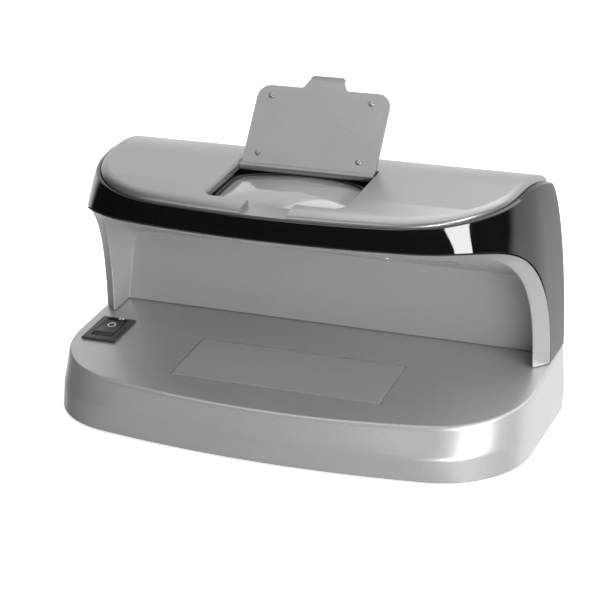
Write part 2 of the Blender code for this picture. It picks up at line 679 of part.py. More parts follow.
def liner_strip(bearing):
    """Edge of the liner just under the wrap, and the hidden edge behind the wall of the wrap."""
    step = GAP + 0.0001
    x, y = outline_point(WRAP_FOOT, bearing)
    if y > OUTER_ARCH.foot_y - 0.004:
        edge = Vector((x, y - step * 1.4, arch_z(OUTER_ARCH, y)))
    else:
        edge = Vector((x, y - step, arch_z(OUTER_ARCH, y) - step))
    edge.z = max(edge.z, platen_z(edge.y) + GAP)
    hidden = edge + Vector((-math.cos(bearing), math.sin(bearing), 0.0)) * (WRAP_WALL + GAP)
    return edge, hidden


def bay_edge(turn, foot):
    """Inner edge of the strip, at the same share of the way round as a bearing of the wrap."""
    lip_foot = math.atan2(BACK_Y - INNER_ARCH.foot_y, LIP.half_width + LIP.flare * INNER_ARCH.foot_y)
    x, y = outline_point(LIP, lip_foot + (math.pi / 2 - lip_foot) * (turn - foot) / (math.pi / 2 - foot))
    return Vector((x, y, max(arch_z(INNER_ARCH, y), platen_z(y) + GAP)))


def bay_creases(edges):
    """Edge of the back wall opposite each point: up the side, round the corner, along the ceiling."""
    floor = Vector((FLOOR_HALF_WIDTH, FLOOR_BACK_Y, platen_z(FLOOR_BACK_Y) + GAP))
    top = Vector((CEILING_HALF_WIDTH, CEILING_BACK_Y, CEILING_BACK_Z))
    climb = (top - floor).normalized()
    side_top = top - climb * BAY_CORNER_RADIUS
    inward = Vector((-1, 0, 0))
    shoulder = next(index for index, edge in enumerate(edges) if edge.z > SHOULDER_Z)
    corner_end = shoulder + 3
    lengths = [(edges[index + 1] - edges[index]).length for index in range(len(edges) - 1)]
    creases = []
    for index, edge in enumerate(edges):
        if index <= shoulder:
            part = (edge.z - edges[0].z) / (edges[shoulder].z - edges[0].z)
            creases.append(floor.lerp(side_top, part))
        elif index <= corner_end:
            angle = math.pi / 2 * (index - shoulder) / (corner_end - shoulder)
            round_off = inward * (1 - math.cos(angle)) + climb * math.sin(angle)
            creases.append(side_top + round_off * BAY_CORNER_RADIUS)
        else:
            part = sum(lengths[index:]) / sum(lengths[corner_end:])
            creases.append(Vector((creases[corner_end].x * part, CEILING_BACK_Y, creases[corner_end].z)))
    return creases, shoulder, corner_end


def build_bay_liner():
    """A scoop: a strip that follows the arch, side walls, a ceiling and a back wall."""
    foot_x = WRAP_FOOT.half_width + WRAP_FOOT.flare * OUTER_ARCH.foot_y
    foot = math.atan2(BACK_Y - OUTER_ARCH.foot_y, foot_x)
    turns = [turn for turn in hood_stations() if foot * 0.99 < turn < math.pi / 2 + 0.001]
    edges = [bay_edge(turn, foot) for turn in turns]
    creases, shoulder, corner_end = bay_creases(edges)
    rows = []
    for index, turn in enumerate(turns):
        strip, hidden = liner_strip(turn)
        angle = math.pi / 2 * min(max((index - shoulder) / (corner_end - shoulder), 0.0), 1.0)
        behind = creases[index] + Vector((math.cos(angle), 1.0, math.sin(angle))) * LINER_WALL
        rows.append([behind, hidden, strip, edges[index], creases[index]])
    rows += [[Vector((-point.x, point.y, point.z)) for point in row] for row in reversed(rows[:-1])]
    built = bmesh.new()
    grid = [[built.verts.new(point) for point in row] for row in rows]
    for one, two in zip(grid, grid[1:]):
        for column in range(4):
            built.faces.new((one[column], one[column + 1], two[column + 1], two[column]))
    built.faces.new([row[4] for row in grid])
    built.faces.new([row[0] for row in grid])
    built.faces.new(grid[0])
    built.faces.new(grid[-1])
    built.faces.new((grid[0][4], grid[0][0], grid[-1][0], grid[-1][4]))
    liner = add_object("bay_liner", built, SILVER, sharp=35)
    cut(liner, prism(lens_outline(-0.0012), -0.045, -0.008), LENS_FRAME)
    for side in (-1, 1):
        cut(liner, prism(rounded_rectangle(UV_HALF_WIDTH, UV_HALF_DEPTH, 0.002, 3), -0.004, 0.008),
            ceiling_frame(side))


def build_back_cover():
    """A flat plate that follows the inner wall of the wrap."""
    inner_wall = wrap_section(0.0)[:-WRAP_LEVELS - 2:-1]
    right = [(point.x - 2 * GAP, point.z) for point in inner_wall]
    points = right + [(-x, z) for x, z in reversed(right)]
    rings = [[Vector((x, BACK_Y - BACK_COVER_THICKNESS, z)) for x, z in points],
             [Vector((x, BACK_Y, z)) for x, z in points]]
    cover = add_object("back_cover", loft(rings), MATT_BLACK)
    for index in range(5):
        cut(cover, prism(rounded_rectangle(0.016, 0.0009, 0.0008, 3), -0.005, 0.002),
            facing_back(0, BACK_Y, 0.066 + 0.005 * index))
    for side in (-1, 1):
        cut(cover, rod(SCREW_SHAFT + GAP, -0.004, 0.001, 16), facing_back(side * 0.0835, BACK_Y, 0.064))
        cut(cover, rod(SCREW_HEAD + GAP, -0.0012, 0.001, 16), facing_back(side * 0.0835, BACK_Y, 0.064))
        place = Matrix.Translation((side * 0.0835, BACK_Y, 0.064)) @ Matrix.Rotation(math.pi / 2, 4, "X")
        name = "back_screw_right" if side > 0 else "back_screw_left"
        add_object(name, turned(screw_profile(0.0080), 16), STEEL, place)


# ---------------------------------------------------------------- cover, window, lens
def ladder(built, row):
    """Fill a D-shaped row of vertices with strips that cross from side to side."""
    count = len(row)
    for index in range(count // 2 - 1):
        built.faces.new((row[index], row[index + 1], row[count - 2 - index], row[count - 1 - index]))
    middle = count // 2
    built.faces.new((row[middle - 1], row[middle], row[middle + 1]))


def cover_bearings():
    turns = outline_bearings(COVER, 3, 9, 12)
    roll = [math.atan2(REAR_ROLL_LENGTH * part, COVER.half_width) for part in (0.2, 0.4, 0.6, 0.8)]
    half = sorted(turns[:len(turns) // 2] + roll)
    return half + [math.pi / 2] + [math.pi - turn for turn in reversed(half)]


def build_top_cover():
    bearings = cover_bearings()
    wide = COVER.half_width - BEAD.half_width
    deep = BEAD.front_y - COVER.front_y
    rise = COVER_TOP_BACK_Z - COVER_EDGE_BACK_Z
    under = ring(inset(BEAD, 0.0008), bearings, lambda y: cover_top_z(y) - COVER_THICKNESS, BACK_Y - 0.0028)
    rows = [under, ring(inset(COVER, 0.0020), bearings, lambda y: cover_edge_z(y) - 0.0012, BACK_Y - 0.0020)]
    rows.append(ring(COVER, bearings, lambda y: cover_edge_z(y) - 0.0012))
    for angle in (0, 22, 45, 70):
        part = math.radians(angle)
        share = 1 - math.cos(part)
        lift = math.sin(part)
        outline = Outline(COVER.half_width - wide * share, COVER.flare, COVER.front_y + deep * share,
                          COVER.front_radius + (BEAD.front_radius - COVER.front_radius) * share,
                          COVER.corner_radius + (BEAD.corner_radius - COVER.corner_radius) * share)
        rows.append(ring(outline, bearings, lambda y, up=lift: cover_edge_z(y) + rise * up))
    rows.append(ring(BEAD, bearings, cover_top_z))
    built = loft(rows, cap=False)
    built.verts.ensure_lookup_table()
    count = len(bearings)
    ladder(built, [built.verts[index] for index in range(count)])
    ladder(built, [built.verts[len(rows) * count - count + index] for index in range(count)])
    cover = add_object("top_cover", built, COVER_GREY, sharp=30)
    for side in (-1, 1):
        join(cover, prism(rectangle(0.0025, 0.0032), -0.0052, -0.0012),
             at(side * (WINDOW_HALF_WIDTH + 0.0022), HINGE_Y, cover_top_z(HINGE_Y), COVER_TILT))
    half_depth = (WINDOW_BACK_Y - WINDOW_FRONT_Y) / 2
    hole = window_outline(WINDOW_HALF_WIDTH, half_depth, WINDOW_CORNER, 0.0006)
    cut(cover, prism(hole, -0.012, 0.004), WINDOW_FRAME)
    notch = rectangle(NOTCH_HALF_WIDTH, 0.006)
    cut(cover, prism(notch, -NOTCH_DEPTH, 0.004),
        at(0, WINDOW_FRONT_Y - 0.0035, cover_top_z(WINDOW_FRONT_Y - 0.0035), COVER_TILT))
    cut(cover, rod(PIN_RADIUS + GAP, -0.0307, 0.0307, 16), across(0, HINGE_Y, HINGE_Z))


def lens_outline(grow=0.0, bow_steps=8, corner_steps=4):
    """Straight sides, bowed front and back, rounded corners."""
    half_x = LENS_HALF_WIDTH + grow
    half_y = LENS_HALF_DEPTH + grow
    bow = LENS_BOW_RADIUS + grow
    corner = LENS_CORNER + grow
    bow_y = half_y - bow
    centre_x = half_x - corner
    centre_y = bow_y + math.sqrt((bow - corner) ** 2 - centre_x ** 2)
    tangent = math.degrees(math.atan2(centre_y - bow_y, centre_x))
    quarter = arc(centre_x, centre_y, corner, 0, tangent, corner_steps)
    quarter += arc(0.0, bow_y, bow, tangent, 90, bow_steps)[1:]
    back = quarter + [(-x, y) for x, y in reversed(quarter[:-1])]
    return back + [(-x, -y) for x, y in back]


def build_lens():
    outline = lens_outline(0.0, 4, 3)
    rings = []
    bottom = -LENS_RIM_DEPTH - LENS_EDGE
    for scale in (0.12, 0.4, 0.7, 1.0):
        rings.append([Vector((x * scale, y * scale, bottom - 0.6 * LENS_DOME * (1 - scale ** 2)))
                      for x, y in outline])
    for scale in (1.0, 0.85, 0.7, 0.4, 0.12):
        rings.append([Vector((x * scale, y * scale, -LENS_RIM_DEPTH + LENS_DOME * (1 - scale ** 2)))
                      for x, y in outline])
    add_object("magnifier_lens", loft(rings), CLEAR, LENS_FRAME)
    frame = add_object("lens_ring", prism(lens_outline(GAP + LENS_RING_WIDTH, 6, 3),
                                          -LENS_RIM_DEPTH - LENS_EDGE, -LENS_RIM_DEPTH + 0.0006),
                       MATT_BLACK, LENS_FRAME)
    cut(frame, prism(lens_outline(GAP, 6, 3), -0.012, 0.0), LENS_FRAME)
    seat = -LENS_RIM_DEPTH - LENS_EDGE - GAP
    pocket = GAP * 2 + LENS_RING_WIDTH
    tray_x = WINDOW_HALF_WIDTH + 0.0020
    tray_y = (WINDOW_BACK_Y - WINDOW_FRONT_Y) / 2 + 0.0024
    well = add_object("lens_well", prism(rounded_rectangle(tray_x, tray_y, 0.005), seat - WELL_WALL,
                                         -COVER_THICKNESS - 0.0006), MATT_BLACK, WINDOW_FRAME)
    join(well, prism(lens_outline(0.0012), -0.040, seat - WELL_WALL / 2), LENS_FRAME)
    cut(well, prism(rounded_rectangle(tray_x - WELL_WALL, tray_y - WELL_WALL, 0.004), seat + 0.0018, 0.004),
        WINDOW_FRAME)
    cut(well, prism(lens_outline(pocket), seat, 0.004), LENS_FRAME)
    cut(well, prism(lens_outline(-0.0012), -0.060, 0.004), LENS_FRAME)
    below = prism(rectangle(0.060, 0.060), -0.060, LINER_WALL + 0.0008)
    cut(well, below, at(0, 0, ceiling_z(0.0), CEILING_TILT))
    for side in (-1, 1):
        cut(well, prism(rectangle(0.0040, 0.0045), -0.0057, 0.003),
            at(side * (WINDOW_HALF_WIDTH + 0.0022), HINGE_Y, cover_top_z(HINGE_Y), COVER_TILT))


# ---------------------------------------------------------------- flap
def flap_outline():
    """Local y runs from the hinge to the free edge; the finger tab sits on the free edge."""
    inner_x = FLAP_HALF_WIDTH - FLAP_CORNER
    inner_y = FLAP_LENGTH - FLAP_CORNER
    right = [(FLAP_HALF_WIDTH, 0.0)] + arc(inner_x, inner_y, FLAP_CORNER, 0, 90, 5)
    right += [(TAB_HALF_WIDTH + 0.0008, FLAP_LENGTH), (TAB_HALF_WIDTH, FLAP_LENGTH + 0.0007)]
    right += [(TAB_TIP_HALF_WIDTH, FLAP_LENGTH + TAB_BEND)]
    return right + [(-x, y) for x, y in reversed(right)]


def build_flap():
    """The flap stands open; its local y axis points from the hinge to the free edge."""
    closed = math.pi + COVER_TILT
    opening = math.pi / 2 + FLAP_LEAN + COVER_TILT
    upright = Matrix.Rotation(closed - opening, 4, "X")
    place = Matrix.Translation((0, HINGE_Y, HINGE_Z)) @ upright
    low = -FLAP_THICKNESS
    high = 0.0
    plate = prism(flap_outline(), low, high)
    flap = add_object("lid_flap", plate, COVER_GREY, place)
    join(flap, rod(BARREL_RADIUS, -FLAP_HALF_WIDTH, FLAP_HALF_WIDTH, 24), place @ across(0, 0, 0))
    tip_y = FLAP_LENGTH + TAB_LENGTH
    tip = []
    for y, half, bend in ((FLAP_LENGTH + TAB_BEND - 0.0005, TAB_TIP_HALF_WIDTH - 0.0001, 0.0001),
                          (tip_y - 0.0007, TAB_TIP_HALF_WIDTH - 0.0002, 0.0008),
                          (tip_y, TAB_TIP_HALF_WIDTH - 0.0010, 0.0010)):
        tip.append([Vector((x, y, z - bend)) for x, z in ((-half, low + 0.0001), (half, low + 0.0001),
                                                         (half, high), (-half, high))])
    join(flap, loft(tip), place)
    for x in (-NUB_X, NUB_X):
        for y in (NUB_NEAR, NUB_FAR):
            dome = turned([(NUB_RADIUS, -0.0004), (NUB_RADIUS * 0.9, 0.0003), (NUB_RADIUS * 0.5, 0.0006)], 12)
            join(flap, dome, place @ Matrix.Translation((x + NUB_SHIFT, y, high)))
    cut(flap, rod(PIN_RADIUS + RUNNING_FIT, -0.030, 0.030, 16), place @ across(0, 0, 0))
    add_object("lid_hinge_pin", rod(PIN_RADIUS, -0.0304, 0.0304, 16), STEEL, across(0, HINGE_Y, HINGE_Z))


# ---------------------------------------------------------------- ultraviolet light
def build_ultraviolet():
    for side, name in ((-1, "left"), (1, "right")):
        frame = ceiling_frame(side)
        filter_low = LINER_WALL + 0.0024
        board_low = filter_low + UV_FILTER_THICKNESS + 0.0034
        add_object("uv_filter_" + name, prism(rounded_rectangle(UV_HALF_WIDTH + 0.0018, UV_HALF_DEPTH + 0.0018,
                                                                0.002, 2),
                                              filter_low, filter_low + UV_FILTER_THICKNESS), VIOLET, frame)
        add_object("uv_board_" + name, prism(rectangle(0.0155, 0.0060), board_low, board_low + BOARD_THICKNESS),
                   BOARD, frame)
        for index, x in enumerate((-0.010, 0.0, 0.010)):
            dome = turned([(0.0006, -0.0027), (0.0014, -0.0022), (0.0018, -0.0012), (0.0018, -GAP)], 12)
            add_object("uv_led_%s_%d" % (name, index + 1), dome, LED_BODY,
                       frame @ Matrix.Translation((x, 0, board_low)))


# ---------------------------------------------------------------- build
for old in list(bpy.data.objects):
    bpy.data.objects.remove(old)
build_base_shell()
build_bottom_plate()
build_feet()
build_bottom_screws()
build_platen_light()
build_control_board()
build_wires()
build_switch()
build_hood_wrap()
build_bay_liner()
build_back_cover()
build_top_cover()
build_lens()
build_flap()
build_ultraviolet()
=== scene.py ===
"""Looks of the counterfeit bill detector: finer shells over the CAD frame, materials, light and camera."""
import json
import math
from collections import namedtuple

import bmesh
import bpy
from mathutils import Matrix, Vector


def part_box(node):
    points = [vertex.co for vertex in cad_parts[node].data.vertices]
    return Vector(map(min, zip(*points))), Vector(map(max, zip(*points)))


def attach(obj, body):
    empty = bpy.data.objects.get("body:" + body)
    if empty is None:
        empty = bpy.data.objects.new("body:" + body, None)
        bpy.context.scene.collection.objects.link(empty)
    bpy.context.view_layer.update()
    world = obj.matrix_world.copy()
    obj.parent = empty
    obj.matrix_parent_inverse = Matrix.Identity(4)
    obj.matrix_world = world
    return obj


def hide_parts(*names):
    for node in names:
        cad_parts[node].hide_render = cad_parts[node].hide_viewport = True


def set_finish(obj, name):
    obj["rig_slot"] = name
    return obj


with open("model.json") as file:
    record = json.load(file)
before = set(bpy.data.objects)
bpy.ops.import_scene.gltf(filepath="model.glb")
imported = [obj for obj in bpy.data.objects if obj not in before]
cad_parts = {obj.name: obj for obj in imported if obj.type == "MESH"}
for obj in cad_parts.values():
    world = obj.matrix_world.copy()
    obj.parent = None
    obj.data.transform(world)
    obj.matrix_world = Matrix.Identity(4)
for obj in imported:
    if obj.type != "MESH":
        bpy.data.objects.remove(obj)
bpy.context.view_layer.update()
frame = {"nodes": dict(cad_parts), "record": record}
nodes = frame["nodes"]


# ---------------------------------------------------------------- driving dimensions, metres
BACK_Y = 0.0428
GAP = 0.0003

# D-shaped outlines: straight sides, rounded front corners, bowed front
Outline = namedtuple("Outline", "half_width flare front_y front_radius corner_radius")
PLATEN = Outline(0.0940, 0.0, -0.0383, 0.326, 0.0358)
CREASE = Outline(0.0948, 0.0, -0.0428, 0.531, 0.0409)
SKIRT = Outline(0.0944, 0.0, -0.0425, 0.415, 0.0348)
WRAP_FOOT = Outline(0.0855, 0.285, -0.0284, 0.366, 0.0403)
COLUMN = Outline(0.0914, 0.061, -0.0284, 0.366, 0.0403)
COVER = Outline(0.0810, 0.0993, -0.0274, 0.3581, 0.0434)

SKIRT_Z = 0.0015
CREASE_Z = 0.0109
PLATEN_BACK_Z = 0.0281
PLATEN_SLOPE = 0.096
PLATEN_THICKNESS = 0.0025
PLATEN_RIM_RADIUS = 0.0012
CREASE_RADIUS = 0.0010
BASE_WALL = 0.0022

# openings of the base
HOLE_DEPTH = 0.010
HOLE_HEADROOM = 0.004
SWITCH_HOLE_HALF_WIDTH = 0.0064
SWITCH_HOLE_HALF_LENGTH = 0.0094
JACK_RADIUS = 0.004
JACK_DEPTH = 0.012
JACK_Z = 0.0165

# arch of the hood, a quarter of a superellipse in side view
Arch = namedtuple("Arch", "front_y foot_y top_z exponent")
OUTER_ARCH = Arch(-0.0284, 0.0264, 0.0822, 2.49)

WRAP_WALL = 0.0020
EDGE_SOFTNESS = 0.0002
WRAP_BULGE = 1.8
FRONT_BULGE = 1.03
RIM_WIDTH = 0.0016
RIM_DROP = 0.0001
COVER_EDGE_BACK_Z = 0.09758
COVER_TOP_BACK_Z = 0.09978
COVER_SLOPE = 0.099
REAR_ROLL_LENGTH = 0.0244
REAR_ROLL_DROP = 0.00518

# arch strip and bay
INNER_ARCH = Arch(-0.02345, 0.0205, 0.07925, 2.49)
LIP = Outline(0.0865, 0.066, -0.0240, 0.362, 0.0532)
CEILING_BACK_Y = 0.0323
CEILING_BACK_Z = 0.0579
CEILING_SLOPE = 0.379
CEILING_HALF_WIDTH = 0.0821
FLOOR_BACK_Y = 0.0339
FLOOR_HALF_WIDTH = 0.0874
BAY_CORNER_RADIUS = 0.004
SHOULDER_Z = 0.0660
LINER_WALL = 0.0018
STRIP_ROUND = 0.0016
BAY_FILLET = 0.0007

# cover and its window
BEAD = Outline(0.0786, 0.0993, -0.0221, 0.3754, 0.0377)
BEAD_TURN = 70.0
COVER_THICKNESS = 0.0030
COVER_LIP_DEPTH = 0.0012
WINDOW_HALF_WIDTH = 0.0272
WINDOW_FRONT_Y = -0.0187
WINDOW_BACK_Y = 0.0187
WINDOW_CORNER = 0.005
WINDOW_CHAMFER = 0.0008
NOTCH_HALF_WIDTH = 0.0091
NOTCH_DEPTH = 0.0020

# window of the platen
GLOW_HALF_WIDTH = 0.042
GLOW_HALF_DEPTH = 0.015
GLOW_Y = -0.006
GLOW_THICKNESS = 0.0015

# switch and its printed marks
SWITCH_X = -0.0817
SWITCH_Y = 0.0049
BEZEL_HEIGHT = 0.0010
ROCKER_RIDGE = 0.0049
ROCKER_RISE = 0.0016
ROCKER_SAG = 0.0005
ROCKER_SHIFT = 0.0008
MARK_Y = 0.0018
MARK_OUTER = 0.0017
MARK_INNER = 0.0013
BAR_PLACES = (0.0006, 0.0020)
BAR_Y = 0.0088
BAR_HALF_WIDTH = 0.0004
BAR_HALF_LENGTH = 0.0007
INK = 0.00003

# magnifier
LENS_Y = -0.0011
LENS_HALF_WIDTH = 0.0255
LENS_HALF_DEPTH = 0.0184
LENS_BOW_RADIUS = 0.041
LENS_CORNER = 0.007
LENS_RIM_DEPTH = 0.0042
LENS_EDGE = 0.0024
LENS_DOME = 0.0026

# ultraviolet windows in the ceiling
UV_X = 0.0470
UV_Y = 0.0060
UV_HALF_WIDTH = 0.0150
UV_HALF_DEPTH = 0.0085


# ---------------------------------------------------------------- outlines and heights
def inset(outline, distance):
    """The parallel outline that lies inside by a distance."""
    slant = math.hypot(1.0, outline.flare)
    return Outline(outline.half_width - distance * slant, outline.flare, outline.front_y + distance,
                   outline.front_radius - distance, outline.corner_radius - distance)


def corner_centre(outline):
    """Centre of the arc that is tangent to the side and to the bowed front."""
    reach = outline.half_width - outline.corner_radius * math.hypot(1.0, outline.flare)
    bow_y = outline.front_y + outline.front_radius
    a = outline.flare ** 2 + 1
    b = 2 * (outline.flare * reach - bow_y)
    c = reach ** 2 + bow_y ** 2 - (outline.front_radius - outline.corner_radius) ** 2
    y = (-b - math.sqrt(b * b - 4 * a * c)) / (2 * a)
    return reach + outline.flare * y, y


def ray_on_circle(direction, centre_x, centre_y, radius):
    """Far crossing of a circle and a ray from the middle of the back."""
    to_x = centre_x
    to_y = centre_y - BACK_Y
    along = direction[0] * to_x + direction[1] * to_y
    off = to_x ** 2 + to_y ** 2 - along ** 2
    reach = along + math.sqrt(max(radius ** 2 - off, 0.0))
    return direction[0] * reach, BACK_Y + direction[1] * reach


def outline_point(outline, bearing):
    """Where a ray from the middle of the back meets the outline.

    The bearing is 0 at the right back corner, a quarter turn at the front and a half turn at the left.
    """
    side = 1.0 if bearing <= math.pi / 2 else -1.0
    turn = bearing if side > 0 else math.pi - bearing
    direction = (math.cos(turn), -math.sin(turn))
    centre_x, centre_y = corner_centre(outline)
    slant = math.hypot(1.0, outline.flare)
    side_end_y = centre_y - outline.corner_radius * outline.flare / slant
    reach = (outline.half_width + outline.flare * BACK_Y) / (direction[0] - outline.flare * direction[1])
    x = direction[0] * reach
    y = BACK_Y + direction[1] * reach
    if direction[0] <= 0.0 or y < side_end_y:
        x, y = ray_on_circle(direction, centre_x, centre_y, outline.corner_radius)
        bow_y = outline.front_y + outline.front_radius
        if x * (bow_y - centre_y) < centre_x * (bow_y - y):
            x, y = ray_on_circle(direction, 0.0, bow_y, outline.front_radius)
    return side * x, y


def outline_bearings(outline, side_steps, corner_steps, front_steps):
    """Bearings that follow the sides, corners and front of an outline, from right to left."""
    centre_x, centre_y = corner_centre(outline)
    slant = math.hypot(1.0, outline.flare)
    bow_y = outline.front_y + outline.front_radius
    start = math.atan2(-outline.flare / slant, 1.0 / slant)
    end = math.atan2(centre_y - bow_y, centre_x)
    side_end_y = centre_y - outline.corner_radius * outline.flare / slant
    turns = []
    for step in range(side_steps):
        y = BACK_Y + (side_end_y - BACK_Y) * step / side_steps
        turns.append(math.atan2(BACK_Y - y, outline.half_width + outline.flare * y))
    for step in range(corner_steps):
        angle = start + (end - start) * step / corner_steps
        x = centre_x + outline.corner_radius * math.cos(angle)
        y = centre_y + outline.corner_radius * math.sin(angle)
        turns.append(math.atan2(BACK_Y - y, x))
    for step in range(front_steps):
        angle = end + (-math.pi / 2 - end) * step / front_steps
        x = outline.front_radius * math.cos(angle)
        y = bow_y + outline.front_radius * math.sin(angle)
        turns.append(math.atan2(BACK_Y - y, x))
    return turns + [math.pi / 2] + [math.pi - turn for turn in reversed(turns)]


def platen_z(y):
    return PLATEN_BACK_Z + PLATEN_SLOPE * (y - BACK_Y)


def rear_roll(y):
    """How far the back edge of the cover rolls down."""
    part = max(0.0, (y - (BACK_Y - REAR_ROLL_LENGTH)) / REAR_ROLL_LENGTH)
    return REAR_ROLL_DROP * part ** 2


def cover_edge_z(y):
    return COVER_EDGE_BACK_Z + COVER_SLOPE * (y - BACK_Y) - rear_roll(y)


def cover_top_z(y):
    return COVER_TOP_BACK_Z + COVER_SLOPE * (y - BACK_Y) - rear_roll(y)


def arch_z(arch, y):
    """Height of an arch over a place in y, between its front and its foot."""
    foot_z = platen_z(arch.foot_y) + GAP
    part = min(max((y - arch.front_y) / (arch.foot_y - arch.front_y), 0.0), 1.0)
    rise = (1.0 - part ** arch.exponent) ** (1.0 / arch.exponent)
    return foot_z + (arch.top_z - foot_z) * rise


def ceiling_z(y):
    return CEILING_BACK_Z + CEILING_SLOPE * (CEILING_BACK_Y - y)


def ring(outline, bearings, height, back_y=BACK_Y):
    """Outline points at a height that may depend on y; nothing lies behind back_y."""
    points = []
    for bearing in bearings:
        x, y = outline_point(outline, bearing)
        y = min(y, back_y)
        points.append(Vector((x, y, height(y))))
    return points


# ---------------------------------------------------------------- materials
def new_material(name):
    made = bpy.data.materials.new(name)
    made.use_nodes = True
    return made, made.node_tree, made.node_tree.nodes["Principled BSDF"]


def noise(tree, scale, detail=2.0, roughness=0.5, stretch=None):
    """Object-space noise whose scale is counted per metre."""
    place = tree.nodes.new("ShaderNodeTexCoord")
    texture = tree.nodes.new("ShaderNodeTexNoise")
    texture.inputs["Scale"].default_value = scale
    texture.inputs["Detail"].default_value = detail
    texture.inputs["Roughness"].default_value = roughness
    source = place.outputs["Object"]
    if stretch:
        mapping = tree.nodes.new("ShaderNodeMapping")
        mapping.inputs["Scale"].default_value = stretch
        tree.links.new(source, mapping.inputs["Vector"])
        source = mapping.outputs["Vector"]
    tree.links.new(source, texture.inputs["Vector"])
    return texture.outputs["Fac"]


def ramp(tree, source, low, high, start=0.3, end=0.7):
    """Map noise to a range of values or, given two colours, to a range of colours."""
    if isinstance(low, tuple):
        made = tree.nodes.new("ShaderNodeValToRGB")
        made.color_ramp.elements[0].position = start
        made.color_ramp.elements[1].position = end
        made.color_ramp.elements[0].color = (*low, 1.0)
        made.color_ramp.elements[1].color = (*high, 1.0)
        tree.links.new(source, made.inputs["Fac"])
        return made.outputs["Color"]
    made = tree.nodes.new("ShaderNodeMapRange")
    made.inputs["From Min"].default_value = start
    made.inputs["From Max"].default_value = end
    made.inputs["To Min"].default_value = low
    made.inputs["To Max"].default_value = high
    tree.links.new(source, made.inputs["Value"])
    return made.outputs["Result"]


def bump(tree, shader, source, depth, strength=1.0):
    made = tree.nodes.new("ShaderNodeBump")
    made.inputs["Distance"].default_value = depth
    made.inputs["Strength"].default_value = strength
    tree.links.new(source, made.inputs["Height"])
    last = shader.inputs["Normal"].links
    if last:
        tree.links.new(last[0].from_socket, made.inputs["Normal"])
    tree.links.new(made.outputs["Normal"], shader.inputs["Normal"])


def shade(colour, factor):
    return tuple(min(1.0, part * factor) for part in colour)


def surface(name, colour, roughness, metallic=0.0, mottle=0.06, mottle_scale=60.0, grain=900.0,
            grain_depth=0.00001, wear=0.05, **sockets):
    """A finish with slow colour mottling, fine grain in the height, and uneven roughness."""
    made, tree, shader = new_material(name)
    slow = noise(tree, mottle_scale, 4.0, 0.6)
    tree.links.new(ramp(tree, slow, shade(colour, 1 - mottle), shade(colour, 1 + mottle)),
                   shader.inputs["Base Color"])
    patches = noise(tree, mottle_scale * 2.3, 5.0, 0.65)
    tree.links.new(ramp(tree, patches, max(0.01, roughness - wear), roughness + wear),
                   shader.inputs["Roughness"])
    shader.inputs["Metallic"].default_value = metallic
    for socket, value in sockets.items():
        shader.inputs[socket.replace("_", " ")].default_value = value
    if grain_depth:
        bump(tree, shader, noise(tree, grain, 2.0, 0.5), grain_depth)
    return made


def flake_paint(name, colour, roughness, metallic):
    """Metallic paint on moulded plastic: tiny bright flakes under a thin satin coat, slight orange peel."""
    made, tree, shader = new_material(name)
    flakes = noise(tree, 5200.0, 1.0, 0.4)
    tree.links.new(ramp(tree, flakes, shade(colour, 0.90), shade(colour, 1.10), 0.35, 0.65),
                   shader.inputs["Base Color"])
    rub = noise(tree, 45.0, 5.0, 0.6)
    tree.links.new(ramp(tree, rub, roughness - 0.03, roughness + 0.04), shader.inputs["Roughness"])
    shader.inputs["Metallic"].default_value = metallic
    shader.inputs["Coat Weight"].default_value = 0.12
    shader.inputs["Coat Roughness"].default_value = 0.22
    bump(tree, shader, noise(tree, 3800.0, 2.0, 0.5), 0.000006, 0.6)
    bump(tree, shader, noise(tree, 420.0, 2.0, 0.5), 0.000012, 0.5)
    return made


def piano_black(name):
    made, tree, shader = new_material(name)
    shader.inputs["Base Color"].default_value = (0.0022, 0.0022, 0.0023, 1.0)
    haze = noise(tree, 120.0, 4.0, 0.6)
    tree.links.new(ramp(tree, haze, 0.02, 0.05), shader.inputs["Roughness"])
    shader.inputs["IOR"].default_value = 1.5
    bump(tree, shader, noise(tree, 260.0, 2.0, 0.5), 0.000003, 0.4)
    return made


SILVER = flake_paint("silver_paint", (0.42, 0.42, 0.42), 0.38, 0.6)
GREY = flake_paint("grey_paint", (0.27, 0.27, 0.27), 0.32, 0.75)
BLACK = piano_black("gloss_black")
MATT = surface("matt_black", (0.018, 0.018, 0.018), 0.42, grain=2600.0, grain_depth=0.00002)
PRINT = surface("white_print", (0.75, 0.75, 0.75), 0.5, mottle=0.08, mottle_scale=900.0)
RUBBER = surface("rubber", (0.03, 0.03, 0.03), 0.85, grain=1500.0, grain_depth=0.00003)
STEEL = surface("steel", (0.55, 0.55, 0.56), 0.3, 1.0, grain=1200.0, grain_depth=0.000006)
OPAL = surface("opal_acrylic", (0.27, 0.27, 0.265), 0.3, mottle=0.006, mottle_scale=12.0, wear=0.012)
LENS = surface("clear_acrylic", (0.48, 0.48, 0.48), 0.16, mottle=0.03, wear=0.03, grain_depth=0.0,
               Transmission_Weight=0.55, IOR=1.49, Coat_Weight=1.0, Coat_Roughness=0.03)
VIOLET = surface("violet_filter", (0.03, 0.01, 0.07), 0.12, mottle=0.2)
BOARD = surface("circuit_board", (0.02, 0.12, 0.05), 0.45, mottle=0.25, mottle_scale=260.0)
EPOXY = surface("led_body", (0.80, 0.80, 0.70), 0.15, mottle=0.04, Transmission_Weight=0.4)
CAN = surface("capacitor_can", (0.6, 0.6, 0.62), 0.32, 1.0, grain=800.0)
SHEATH = surface("wire_sheath", (0.25, 0.02, 0.02), 0.5, mottle=0.12)
TINNED = surface("tinned_brass", (0.60, 0.55, 0.45), 0.35, 1.0, mottle=0.1)
